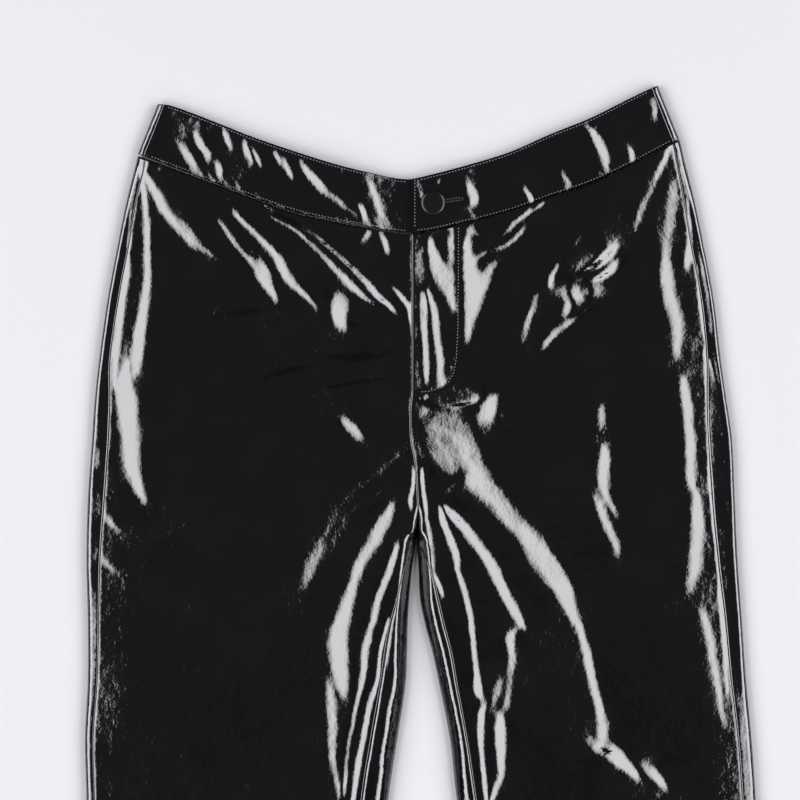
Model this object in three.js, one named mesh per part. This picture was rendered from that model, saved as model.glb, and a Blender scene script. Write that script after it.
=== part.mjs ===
// Black patent leather trousers, laid flat on their back with the front up.
// Millimetres. X runs across the garment, +Y towards the waist, +Z up from the surface that it lies on.
// Left and right are as seen from the front. The pattern is drawn with Y = 0 level with the crotch fork.
import * as THREE from "three";

// Driving dimensions
const CLOTH = 1.2; // thickness of one layer
const BAND_CLOTH = 2.2; // the waistband and the turned hems are two layers
const SEAM_GAP = 0.3; // left between two pieces at a seam
const FOLD_HEIGHT = 7.2; // height of the round fold along each side and inner leg
const PANEL_HEIGHT = 5.4; // top of the front where it lies on the back
const SIDE_ROLL = 1.6; // how much higher the soft roll beside each side fold stands
const SIDE_ROLL_INSIDE = 34; // from the side fold to the crest of that roll
const LEG_ROLL = 2;
const LEG_ROLL_INSIDE = 24;
const FORK_Y = 7; // where the two legs part
const FORK_X = 2.9;
const HEM_Y = -680;
const HEM_DEPTH = 22;
const HEM_GAPE = 1.8; // how much higher the fronts stand at the open ends of the legs
const FRONT_COLUMNS = 16;
const INNER_COLUMNS = 5; // columns of a back that go round the inner leg fold
const WARP_END_Y = 110; // below this the rows of the panels run straight across
const FLY_LENGTH = 119;
const FLY_WIDTH = 34;
const BAND_HEIGHT = 7.8; // top of the waistband over the floor
const BAND_ROLL = 2.6;
const BAND_SIDE_SEAM = 5; // from the side fold of the waistband to its seam
const UNDERLAP = 27; // how far the left end of the waistband runs under the right one
const UNDERLAP_HEIGHT = 5.8;
const LAP_HEIGHT = 8.9; // top of the right end of the waistband, where it lies over the underlap
const BUTTON_X = 15;
const BUTTON_Y = 251.5;
const BUTTON_RADIUS = 8.5;
const BUTTON_HEIGHT = 3.6;

// Side folds: distance of each side fold from the middle, and of the side seam from its fold, at each height
const SIDES = [
  // y, left, right, leftSeam, rightSeam
  [334, 182, 176, 5, 5],
  [298, 193, 191, 5, 5],
  [282, 197, 195, 6, 6],
  [254, 204, 202, 7, 8],
  [225, 210, 208, 8, 9],
  [182, 218, 216, 8, 9],
  [139, 224, 221, 8, 10],
  [111, 227, 225, 11, 14],
  [82, 229, 229, 12, 17],
  [39, 232, 231, 12, 16],
  [-4, 233, 233, 10, 14],
  [-46, 232, 236, 8, 12],
  [-89, 232, 239, 7, 11],
  [-132, 234, 243, 6, 10],
  [-175, 233, 246, 6, 10],
  [-330, 232, 254, 6, 9],
  [-500, 237, 266, 6, 8],
  [-680, 245, 281, 6, 8],
];

// Inner leg folds and how far the inseam lies inside each, from the fork down
const INNER_LEGS = [
  // y, left, right, leftSeam, rightSeam
  [7, 2.75, 3.05, 0, 0],
  [0, 1.5, 4, 2.6, 4],
  [-11, 0, 4.6, 6, 9],
  [-32, -2, 5.7, 9, 13],
  [-50, -3, 9.3, 13, 13.5],
  [-69, -3.4, 14.3, 16, 13.5],
  [-92, -4.5, 19.3, 18, 12.5],
  [-132, -10.5, 27.1, 19, 12],
  [-175, -17, 32, 19, 13.5],
  [-330, -35, 56, 16, 13],
  [-500, -48.5, 77.5, 14, 12],
  [-680, -58.5, 95, 14, 12],
];

// Top edge of the waistband and the seam below it, along the front
const WAIST = [
  // x, edge, seam
  [-198, 330, 287],
  [-184, 323, 282],
  [-172, 321, 277.5],
  [-144, 310.6, 267],
  [-116, 299.4, 256.5],
  [-87, 289.3, 246],
  [-58, 280, 239],
  [-30, 273, 234],
  [-4, 268.5, 230],
  [13, 271.5, 231.5],
  [41, 279, 238],
  [70, 288, 245.5],
  [99, 300.7, 256],
  [127, 312, 265.5],
  [156, 326.4, 279],
  [172, 334, 287.5],
  [192, 342, 298],
];

// The crotch seam, from the fly down to the fork
const CENTRE = [
  // y, x
  [334, 0],
  [118, 0],
  [101, -1.2],
  [81, -0.6],
  [69, 1.8],
  [51, 3.4],
  [29, 4.4],
  [7, FORK_X],
  [-680, FORK_X],
];

// The largest folds: each runs in an arc from a start through a middle to an end, with the width of its left and
// right flank as seen walking along it. The narrow flank is the steep one.
const FOLDS = [
  // x0, y0, x1, y1, x2, y2, height, left, right
  [4, 97, 62, 40, 118, -84, 6.5, 46, 30],
  [58, 84, 92, 20, 128, -30, 4.5, 30, 24],
  [112, -60, 132, -110, 130, -150, 5, 30, 26],
  [20, 38, 42, -8, 78, -56, 4, 22, 18],
  [22, 20, 40, -30, 48, -104, 4.2, 22, 18],
  [72, -52, 62, -110, 50, -176, 4.5, 20, 24],
  [-4, 84, -40, 45, -80, -6, 4.5, 26, 30],
  [-14, 40, -42, -20, -60, -100, 5.5, 28, 22],
  [-30, 20, -50, -40, -62, -160, 4.5, 22, 30],
  [-6, -10, -34, -70, -48, -160, 4, 20, 18],
  [-60, -6, -92, -50, -122, -84, 3.2, 26, 26],
  [-144, 262, -132, 238, -96, 180, 4.5, 20, 24],
  [-118, 250, -96, 210, -60, 172, 4.8, 20, 24],
  [-100, 244, -60, 224, -10, 166, 4.2, 20, 22],
  [-60, 238, -44, 214, -12, 184, 3.4, 18, 18],
  [-66, 160, -40, 138, -10, 150, 3.6, 22, 22],
  [-110, 130, -84, 132, -62, 120, 3, 20, 18],
  [-186, 262, -178, 214, -168, 180, 4, 20, 22],
  [-170, 256, -160, 228, -148, 214, 4.2, 18, 20],
  [-190, 200, -192, 110, -184, 44, 4.6, 32, 22],
  [100, 252, 66, 226, 44, 224, 4.2, 20, 22],
  [138, 246, 92, 210, 54, 136, 4.4, 22, 24],
  [104, 206, 86, 178, 38, 122, 3.6, 20, 20],
  [144, 204, 122, 186, 98, 158, 4, 20, 20],
  [4, 190, 16, 160, 24, 126, 3.2, 16, 18],
  [2, 108, 24, 116, 52, 108, 3.2, 18, 20],
  [184, 284, 166, 262, 152, 224, 3.6, 18, 18],
  [190, 250, 186, 190, 192, 130, 4.4, 24, 30],
  [196, 110, 198, 60, 204, -20, 4, 22, 26],
  [132, 76, 138, 50, 140, 10, 3, 18, 22],
  [178, 96, 186, 40, 190, -36, 2.6, 22, 20],
  [-120, -330, -140, -350, -166, -352, 4, 26, 26],
  [-60, -320, -90, -345, -112, -338, 3.6, 26, 26],
  [96, -318, 130, -345, 166, -350, 4, 26, 26],
  [180, -330, 200, -350, 220, -344, 3.6, 24, 26],
  [-190, -420, -176, -500, -190, -590, 3.4, 28, 30],
  [120, -430, 150, -510, 160, -600, 3.4, 28, 30],
];

const LEATHER = { color: 0x0b0b0d, roughness: 0.12, metalness: 0 };
const BUTTON_FINISH = { color: 0x141417, roughness: 0.3, metalness: 0 };

// Smooth curve through one column of a table whose first column runs down in y or up in x
function readTable(table, column, at) {
  const rising = table[1][0] > table[0][0];
  const rows = rising ? table : [...table].reverse();
  const last = rows.length - 1;
  const place = Math.min(Math.max(at, rows[0][0]), rows[last][0]);
  let i = 0;
  while (i < last - 1 && place > rows[i + 1][0]) i += 1;
  const slope = (k) => {
    const a = rows[Math.max(k - 1, 0)];
    const b = rows[Math.min(k + 1, last)];
    return (b[column] - a[column]) / (b[0] - a[0]);
  };
  const span = rows[i + 1][0] - rows[i][0];
  const t = (place - rows[i][0]) / span;
  const [p, q] = [rows[i][column], rows[i + 1][column]];
  const bend = t * (1 - t) * span * ((1 - t) * slope(i) - t * slope(i + 1));
  return p + (q - p) * t * t * (3 - 2 * t) + bend;
}

const smooth = (t) => {
  const c = Math.min(Math.max(t, 0), 1);
  return c * c * (3 - 2 * c);
};

const mix = (a, b, t) => a + (b - a) * t;

// side is -1 for the left half and 1 for the right
const column = (side, left, right) => (side < 0 ? left : right);
const centreX = (y) => readTable(CENTRE, 1, y);
const outerX = (side, y) => side * readTable(SIDES, column(side, 1, 2), y);
const sideSeam = (side, y) => readTable(SIDES, column(side, 3, 4), y);
const legX = (side, y) => readTable(INNER_LEGS, column(side, 1, 2), y);
const innerX = (side, y) => (y > FORK_Y ? centreX(y) + (side * SEAM_GAP) / 2 : legX(side, y));
const innerSeam = (side, y) => (y > FORK_Y ? 0 : readTable(INNER_LEGS, column(side, 3, 4), y));

// How far the inner edge has turned into a round fold: nothing on the body, whole from the fork down
const legFold = (y) => smooth((FORK_Y + 30 - y) / 30);

function foldHeight(x, y) {
  let height = 0;
  for (const [x0, y0, x1, y1, x2, y2, rise, left, right] of FOLDS) {
    const [cx, cy] = [2 * x1 - (x0 + x2) / 2, 2 * y1 - (y0 + y2) / 2];
    const steps = 12;
    let nearest = Infinity;
    let along = 0;
    let hand = 1;
    for (let i = 0; i <= steps; i += 1) {
      const t = i / steps;
      const px = mix(mix(x0, cx, t), mix(cx, x2, t), t);
      const py = mix(mix(y0, cy, t), mix(cy, y2, t), t);
      const away = Math.hypot(x - px, y - py);
      if (away < nearest) {
        nearest = away;
        along = t;
        hand = mix(cx - x0, x2 - cx, t) * (y - py) - mix(cy - y0, y2 - cy, t) * (x - px);
      }
    }
    const width = hand > 0 ? left : right;
    height += rise * smooth(1 - nearest / width) * smooth(4 * along * (1 - along) + 0.15);
  }
  return height;
}

// Roll beside a fold: a soft bump whose crest lies some way inside the fold, and which comes down slowly beyond it
const roll = (inside, crest, height) =>
  height * smooth(inside < crest ? inside / crest : 1 - (inside - crest) / (4 * crest));

// Height of the front over the floor, some way inside the side fold and the inner edge
function topHeight(x, y, fromSide, fromInner, legShare) {
  const settled = smooth(Math.min(fromSide, mix(22, fromInner, legShare)) / 22);
  let z = mix(FOLD_HEIGHT, PANEL_HEIGHT, smooth(fromSide / 70));
  z += roll(fromSide, SIDE_ROLL_INSIDE, SIDE_ROLL);
  z += legShare * (roll(fromInner, LEG_ROLL_INSIDE, LEG_ROLL) + 1.6 * smooth(1 - fromInner / 20));
  z += HEM_GAPE * smooth((HEM_Y + 140 - y) / 120);
  return z + foldHeight(x, y) * settled;
}

// The quarter circle by which a layer turns into a fold: 0 at the fold, 1 once it lies flat
function turnIn(inside) {
  const share = Math.min(Math.max((2 * inside) / FOLD_HEIGHT, 0), 1);
  return Math.sqrt(1 - (1 - share) ** 2);
}

// A row runs straight across, but near the waist it bends to follow the waistband
function rowHeight(x, sideX, sideY) {
  if (sideY <= WARP_END_Y) return sideY;
  const seamAtSide = readTable(WAIST, 2, sideX);
  const share = (sideY - WARP_END_Y) / (seamAtSide - WARP_END_Y);
  return WARP_END_Y + share * (readTable(WAIST, 2, x) - WARP_END_Y);
}

// One point of the closed section of a half. The walk goes over the top from the inner edge to the side fold,
// which is `width` long, back underneath, and on over the top again where the leg has an inner fold.
function sectionPoint(side, sideY, walk) {
  const sideX = outerX(side, sideY);
  const inX = innerX(side, sideY);
  const width = Math.abs(sideX - inX);
  const onLeg = sideY <= FORK_Y;
  const onTop = onLeg ? (walk > 0 && walk < width) || walk > 2 * width : walk < width;
  const walkedBack = walk < width ? walk : 2 * width - walk;
  const inside = onLeg ? Math.abs(walkedBack) : walkedBack;
  const x = inX + side * inside;
  const y = rowHeight(x, sideX, sideY);
  const legShare = legFold(sideY);
  const middle = FOLD_HEIGHT / 2;
  const sideTurn = turnIn(width - inside);
  const innerTurn = mix(1, turnIn(inside), legShare);
  if (!onTop) return new THREE.Vector3(x, y, middle * (1 - sideTurn * innerTurn));
  const top = topHeight(x, y, width - inside, inside, legShare);
  return new THREE.Vector3(x, y, middle + (top - middle) * sideTurn * innerTurn);
}

// Inner side of the cloth at a point of the section, one thickness in from the outer side
function insidePoint(section, walk, thickness) {
  const before = section(walk - 0.05);
  const after = section(walk + 0.05);
  const [dx, dz] = [after.x - before.x, after.z - before.z];
  const length = Math.hypot(dx, dz);
  const point = section(walk);
  const turn = section.side;
  return new THREE.Vector3(
    point.x + (turn * thickness * dz) / length,
    point.y,
    point.z - (turn * thickness * dx) / length,
  );
}

// Closed wall from two grids of the same shape, its outer and inner faces
function wall(name, outer, inner, finish, outward, closed = false) {
  const rows = outer.length;
  const columns = outer[0].length;
  const points = [...outer.flat(), ...inner.flat()];
  const half = rows * columns;
  const at = (face, r, c) => face * half + r * columns + (c % columns);
  const faces = [];
  const quad = (a, b, c, d) => faces.push(a, b, c, a, c, d);
  const lastColumn = closed ? columns : columns - 1;
  for (let r = 0; r < rows - 1; r += 1) {
    for (let c = 0; c < lastColumn; c += 1) {
      quad(at(0, r, c), at(0, r + 1, c), at(0, r + 1, c + 1), at(0, r, c + 1));
      quad(at(1, r, c), at(1, r, c + 1), at(1, r + 1, c + 1), at(1, r + 1, c));
    }
    if (closed) continue;
    quad(at(0, r, 0), at(1, r, 0), at(1, r + 1, 0), at(0, r + 1, 0));
    quad(at(0, r, columns - 1), at(0, r + 1, columns - 1), at(1, r + 1, columns - 1), at(1, r, columns - 1));
  }
  for (let c = 0; c < lastColumn; c += 1) {
    quad(at(0, 0, c), at(0, 0, c + 1), at(1, 0, c + 1), at(1, 0, c));
    quad(at(0, rows - 1, c), at(1, rows - 1, c), at(1, rows - 1, c + 1), at(0, rows - 1, c + 1));
  }
  if (!outward) faces.reverse();
  const geometry = new THREE.BufferGeometry();
  geometry.setAttribute("position", new THREE.Float32BufferAttribute(points.flatMap((p) => p.toArray()), 3));
  geometry.setIndex(faces);
  geometry.computeVertexNormals();
  const mesh = new THREE.Mesh(geometry, new THREE.MeshStandardMaterial(finish));
  mesh.name = name;
  return mesh;
}

const steps = (from, to, count) => Array.from({ length: count + 1 }, (_, i) => mix(from, to, i / count));

// Heights of the rows: close together over the body and upper thigh, wide apart down the plain leg
function rowsOf(topY, bottomY) {
  return [
    ...steps(topY, 110, 13),
    ...steps(96, 40, 4),
    ...[28, 17, FORK_Y, 0, -11, -25],
    ...steps(-41, -185, 8),
    ...steps(-225, -300, 1),
    ...steps(-330, -362, 1),
    ...steps(-420, bottomY, 3),
  ];
}

const bottomOfLeg = HEM_Y + HEM_DEPTH + SEAM_GAP;
const topOfSide = (side) => readTable(WAIST, 2, outerX(side, 290)) - 2 * SEAM_GAP;

function panel(name, side, walks) {
  const outer = [];
  const inner = [];
  for (const y of rowsOf(topOfSide(side), bottomOfLeg)) {
    const section = (walk) => sectionPoint(side, y, walk);
    section.side = side;
    const row = walks(side, y);
    outer.push(row.map(section));
    inner.push(row.map((walk) => insidePoint(section, walk, CLOTH)));
  }
  return wall(name, outer, inner, LEATHER, side > 0);
}

// Where a front's columns lie: evenly from the centre front or inseam to the side seam
function frontWalks(side, y) {
  const width = Math.abs(outerX(side, y) - innerX(side, y));
  const start = y > FORK_Y ? 0 : innerSeam(side, y) + halfGap(side, y);
  return steps(start, width - sideSeam(side, y) - SEAM_GAP / 2, FRONT_COLUMNS);
}

// At the fork the inseam lies on the steepest part of the fold, where a short walk is a large step
const halfGap = (side, y) => (innerSeam(side, y) < 1 ? 0.01 : SEAM_GAP / 2);

// Walk past a fold for an angle round it, from -90 degrees on the floor to 90 on top
const roundFold = (angle) => (Math.sign(angle) * FOLD_HEIGHT * (1 - Math.cos(angle))) / 2;

const floorWalks = (width) => steps(width + FOLD_HEIGHT / 2, 2 * width - 16, 3).slice(1);

// Where a back's columns lie: round the side fold, along the floor and, on the leg, up round the inner fold
function backWalks(side, y) {
  const width = Math.abs(outerX(side, y) - innerX(side, y));
  const radius = FOLD_HEIGHT / 2;
  const quarter = Math.PI / 2;
  const sideFold = steps(quarter, -quarter, 5).map((angle) => width - roundFold(angle));
  const start = [width - sideSeam(side, y) + SEAM_GAP / 2, ...sideFold, ...floorWalks(width)];
  if (y > FORK_Y) return [...start, ...steps(2 * width - 13, 2 * width, INNER_COLUMNS)];
  const seam = innerSeam(side, y) - halfGap(side, y);
  const lastAngle = Math.acos(1 - Math.min(Math.abs(seam) / radius, 1)) * Math.sign(seam);
  const angles = steps(-quarter, seam < radius ? lastAngle : quarter, INNER_COLUMNS - (seam < radius ? 0 : 1));
  const innerFold = angles.map((angle) => 2 * width + roundFold(angle));
  return [...start, ...innerFold, ...(seam < radius ? [] : [2 * width + seam])];
}

// Side folds of the waistband at its seam and at its top edge
const bandSeamX = (side) => outerX(side, topOfSide(side));
const bandEdgeX = (side) => outerX(side, 334);

// The waistband's own section, a share of its depth up from the seam
function bandPoint(side, share, walk) {
  const sideX = mix(bandSeamX(side), bandEdgeX(side), share);
  const width = Math.abs(sideX);
  const inside = walk < width ? walk : 2 * width - walk;
  const x = side * inside;
  const seamY = readTable(WAIST, 2, x) + SEAM_GAP * (1 - share);
  const y = mix(seamY, readTable(WAIST, 1, x), share);
  const middle = FOLD_HEIGHT / 2;
  const sideTurn = turnIn(width - inside);
  if (walk > width) return new THREE.Vector3(x, y, middle * (1 - sideTurn));
  const settled = smooth((width - inside) / 22) * smooth((Math.abs(x) - 30) / 20);
  let top = BAND_HEIGHT + roll(width - inside, SIDE_ROLL_INSIDE, BAND_ROLL) + 0.5 * foldHeight(x, y) * settled;
  if (side > 0) top = mix(LAP_HEIGHT, top, smooth((x - UNDERLAP) / 24));
  if (side < 0) top = mix(UNDERLAP_HEIGHT, top, smooth((-x - 2) / 14));
  return new THREE.Vector3(x, y, middle + (top - middle) * sideTurn);
}

const BAND_ROWS = [1, 0.5, 0];

function bandGrid(side, walks) {
  const outer = [];
  const inner = [];
  for (const share of BAND_ROWS) {
    const section = (walk) => bandPoint(side, share, walk);
    section.side = side;
    const row = walks(Math.abs(mix(bandSeamX(side), bandEdgeX(side), share)));
    outer.push(row.map(section));
    inner.push(row.map((walk) => insidePoint(section, walk, BAND_CLOTH)));
  }
  return [outer, inner];
}

// A half of the front waistband runs from its end to the side seam. The left end starts beyond the middle.
function frontBand(name, side) {
  const start = side < 0 ? -UNDERLAP : SEAM_GAP / 2;
  const walks = (width) => steps(start, width - BAND_SIDE_SEAM - SEAM_GAP / 2, 16);
  return wall(name, ...bandGrid(side, walks), LEATHER, side > 0);
}

// The back waistband is one strip, from side seam to side seam round both folds
function backBand(name) {
  const walks = (width) => [
    width - BAND_SIDE_SEAM + SEAM_GAP / 2,
    ...steps(Math.PI / 2, -Math.PI / 2, 5).map((angle) => width - roundFold(angle)),
    ...floorWalks(width),
    ...steps(2 * width - 13, 2 * width, INNER_COLUMNS),
  ];
  const left = bandGrid(-1, walks);
  const right = bandGrid(1, walks);
  const [outer, inner] = [0, 1].map((face) =>
    left[face].map((row, r) => [...row, ...right[face][r].slice(0, -1).reverse()]),
  );
  return wall(name, outer, inner, LEATHER, false);
}

// A turned hem is a closed ring round the end of the leg
function hem(name, side) {
  const radius = FOLD_HEIGHT / 2;
  const outer = [];
  const inner = [];
  for (const y of [HEM_Y + HEM_DEPTH, HEM_Y + HEM_DEPTH / 2, HEM_Y]) {
    const section = (walk) => sectionPoint(side, y, walk);
    section.side = side;
    const width = Math.abs(outerX(side, y) - innerX(side, y));
    const walks = [
      ...steps(0, Math.PI / 2, 2).map(roundFold),
      ...steps(radius, width - radius, 6).slice(1, -1),
      ...steps(Math.PI / 2, -Math.PI / 2, 4).map((angle) => width - roundFold(angle)),
      ...steps(width + radius, 2 * width - radius, 4).slice(1, -1),
      ...steps(-Math.PI / 2, 0, 2).slice(0, -1).map((angle) => 2 * width + roundFold(angle)),
    ];
    outer.push(walks.map(section));
    inner.push(walks.map((walk) => insidePoint(section, walk, BAND_CLOTH)));
  }
  return wall(name, outer, inner, LEATHER, side > 0, true);
}

// The fly underlap lies close under the fronts, from the waistband seam to the end of the fly
function flyUnderlap(name) {
  const top = PANEL_HEIGHT - CLOTH - SEAM_GAP;
  const row = (drop, z) => steps(-5, FLY_WIDTH - 4, 5).map((x) => new THREE.Vector3(x, readTable(WAIST, 2, x) - drop, z));
  const outer = [row(1, top), row(FLY_LENGTH, top)];
  const inner = [row(1, top - CLOTH), row(FLY_LENGTH, top - CLOTH)];
  return wall(name, outer, inner, LEATHER, true);
}

// A round cap button, domed, with its rim rolled under
function button(name) {
  const profile = [
    [0, 0],
    [0.72, 0],
    [0.97, 0.3],
    [1, 0.5],
    [0.9, 0.74],
    [0.55, 0.93],
    [0, 1],
  ].map(([r, h]) => new THREE.Vector2(r * BUTTON_RADIUS, h * BUTTON_HEIGHT));
  const geometry = new THREE.LatheGeometry(profile, 28).rotateX(Math.PI / 2);
  const mesh = new THREE.Mesh(geometry, new THREE.MeshStandardMaterial(BUTTON_FINISH));
  mesh.name = name;
  mesh.position.set(BUTTON_X, BUTTON_Y, LAP_HEIGHT + SEAM_GAP);
  return mesh;
}

const trousers = new THREE.Group();
for (const [side, hand] of [[-1, "left"], [1, "right"]]) {
  trousers.add(panel(`front_${hand}`, side, frontWalks));
  trousers.add(panel(`back_${hand}`, side, backWalks));
  trousers.add(frontBand(`waistband_front_${hand}`, side));
  trousers.add(hem(`hem_${hand}`, side));
}
trousers.add(backBand("waistband_back"));
trousers.add(flyUnderlap("fly_underlap"));
trousers.add(button("button"));

// The part's origin is under the middle of its box
const box = new THREE.Box3().setFromObject(trousers);
trousers.position.set(-(box.min.x + box.max.x) / 2, -(box.min.y + box.max.y) / 2, 0);

const group = new THREE.Group();
group.add(trousers);

export default group;
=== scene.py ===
"""Black patent leather trousers, laid flat with the front up on a pale floor, seen from straight above."""

import bpy
import numpy as np
from mathutils.bvhtree import BVHTree
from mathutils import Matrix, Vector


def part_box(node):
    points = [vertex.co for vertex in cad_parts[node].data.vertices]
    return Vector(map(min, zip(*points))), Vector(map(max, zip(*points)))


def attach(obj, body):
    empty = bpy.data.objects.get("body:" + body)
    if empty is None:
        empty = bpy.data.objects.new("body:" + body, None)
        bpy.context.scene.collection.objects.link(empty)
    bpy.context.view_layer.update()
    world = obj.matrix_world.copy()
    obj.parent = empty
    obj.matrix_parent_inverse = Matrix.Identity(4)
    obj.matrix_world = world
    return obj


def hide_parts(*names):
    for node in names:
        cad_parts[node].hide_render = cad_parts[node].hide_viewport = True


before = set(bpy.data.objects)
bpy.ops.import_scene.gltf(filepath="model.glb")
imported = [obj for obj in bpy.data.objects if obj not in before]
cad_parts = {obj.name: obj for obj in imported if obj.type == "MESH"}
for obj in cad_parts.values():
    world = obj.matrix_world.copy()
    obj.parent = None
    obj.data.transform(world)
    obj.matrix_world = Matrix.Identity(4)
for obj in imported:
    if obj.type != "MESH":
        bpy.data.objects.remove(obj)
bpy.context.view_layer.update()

# Fronts: two long panels of patent leather, black leather under a stiff clear coat, in which the drag lines
# from the crotch, fly and waist stay pressed. They are sewn to the waistband, to the hems and to the backs
# that they lie on, and the right one laps over the left one at the fly.

# Places are millimetres: x across with 0 on the centre front, y up to the waist with 0 near the crotch, left
# and right as seen from the front. The button tells where this pattern lies in the frame.
BUTTON_PLACE = np.array([15.0, 251.5])
button_low, button_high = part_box("button")
pattern_shift = 500 * (np.array(button_low[:2]) + np.array(button_high[:2])) - BUTTON_PLACE


def smooth(share):
    share = np.clip(share, 0, 1)
    return share * share * (3 - 2 * share)


def mix(low, high, share):
    return low + (high - low) * share


def read_table(table, column, at):
    """Smooth curve through a column of a table whose first column is the place."""
    rows = np.array(sorted(table), dtype=float)
    places, values = rows[:, 0], rows[:, column]
    slopes = np.empty_like(values)
    slopes[1:-1] = (values[2:] - values[:-2]) / (places[2:] - places[:-2])
    slopes[0] = (values[1] - values[0]) / (places[1] - places[0])
    slopes[-1] = (values[-1] - values[-2]) / (places[-1] - places[-2])
    at = np.clip(at, places[0], places[-1])
    i = np.clip(np.searchsorted(places, at) - 1, 0, len(places) - 2)
    span = places[i + 1] - places[i]
    t = (at - places[i]) / span
    bend = t * (1 - t) * span * ((1 - t) * slopes[i] - t * slopes[i + 1])
    return values[i] + (values[i + 1] - values[i]) * smooth(t) + bend


# The outline of the trousers as they lie: the two side folds, with the side seams a little way inside them,
# and the two inner leg folds, with the inseams inside those.
SIDES = [
    # y, left fold, right fold, left seam inside it, right seam inside it
    (334, 182, 176, 5, 5),
    (298, 193, 191, 5, 5),
    (282, 197, 195, 6, 6),
    (254, 204, 202, 7, 8),
    (225, 210, 208, 8, 9),
    (182, 218, 216, 8, 9),
    (139, 224, 221, 8, 10),
    (111, 227, 225, 11, 14),
    (82, 229, 229, 12, 17),
    (39, 232, 231, 12, 16),
    (-4, 233, 233, 10, 14),
    (-46, 232, 236, 8, 12),
    (-89, 232, 239, 7, 11),
    (-132, 234, 243, 6, 10),
    (-175, 233, 246, 6, 10),
    (-330, 232, 254, 6, 9),
    (-500, 237, 266, 6, 8),
    (-680, 245, 281, 6, 8),
]
INNER_LEGS = [
    # y, left fold, right fold, left seam inside it, right seam inside it
    (7, 2.75, 3.05, 0, 0),
    (0, 1.5, 4, 2.6, 4),
    (-11, 0, 4.6, 6, 9),
    (-32, -2, 5.7, 9, 13),
    (-50, -3, 9.3, 13, 13.5),
    (-69, -3.4, 14.3, 16, 13.5),
    (-92, -4.5, 19.3, 18, 12.5),
    (-132, -10.5, 27.1, 19, 12),
    (-175, -17, 32, 19, 13.5),
    (-330, -35, 56, 16, 13),
    (-500, -48.5, 77.5, 14, 12),
    (-680, -58.5, 95, 14, 12),
]
CENTRE_SEAM = [
    # y, x
    (334, 0),
    (118, 0),
    (101, -1.2),
    (81, -0.6),
    (69, 1.8),
    (51, 3.4),
    (29, 4.4),
    (7, 2.9),
    (-680, 2.9),
]
WAIST = [
    # x, top edge of the waistband, seam below it
    (-198, 330, 287),
    (-184, 323, 282),
    (-172, 321, 277.5),
    (-144, 310.6, 267),
    (-116, 299.4, 256.5),
    (-87, 289.3, 246),
    (-58, 280, 239),
    (-30, 273, 234),
    (-4, 268.5, 230),
    (13, 271.5, 231.5),
    (41, 279, 238),
    (70, 288, 245.5),
    (99, 300.7, 256),
    (127, 312, 265.5),
    (156, 326.4, 279),
    (172, 334, 287.5),
    (192, 342, 298),
]
TOP_EDGE, WAIST_SEAM = 1, 2
SEAM_GAP = 0.3
CROTCH_Y = 7
HEM_Y = -680
HEM_DEPTH = 22
HEM_GAPE = 1.8
WAIST_SEAM_SIDE_Y = 290
WARP_END_Y = 110
LEFT, RIGHT = -1, 1


def side_fold_x(side, y):
    return side * read_table(SIDES, 1 if side == LEFT else 2, y)


def side_seam_inset(side, y):
    return read_table(SIDES, 3 if side == LEFT else 4, y)


def inner_fold_x(side, y):
    """The centre front on the body, and the inner leg fold on a leg."""
    on_body = read_table(CENTRE_SEAM, 1, y) + side * SEAM_GAP / 2
    return np.where(y > CROTCH_Y, on_body, read_table(INNER_LEGS, 1 if side == LEFT else 2, y))


def inseam_inset(side, y):
    return np.where(y > CROTCH_Y, 0, read_table(INNER_LEGS, 3 if side == LEFT else 4, y))


def panel_top_y(side):
    """Upper end of a leg panel at its side fold, just under the waistband."""
    return read_table(WAIST, WAIST_SEAM, side_fold_x(side, WAIST_SEAM_SIDE_Y)) - 2 * SEAM_GAP


def row_y(x, side_x, side_y):
    """A row runs straight across, but near the waist it bends to follow the waistband."""
    seam_at_side = read_table(WAIST, WAIST_SEAM, side_x)
    share = (side_y - WARP_END_Y) / (seam_at_side - WARP_END_Y)
    bent = WARP_END_Y + share * (read_table(WAIST, WAIST_SEAM, x) - WARP_END_Y)
    return np.where(side_y <= WARP_END_Y, side_y, bent)


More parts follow.
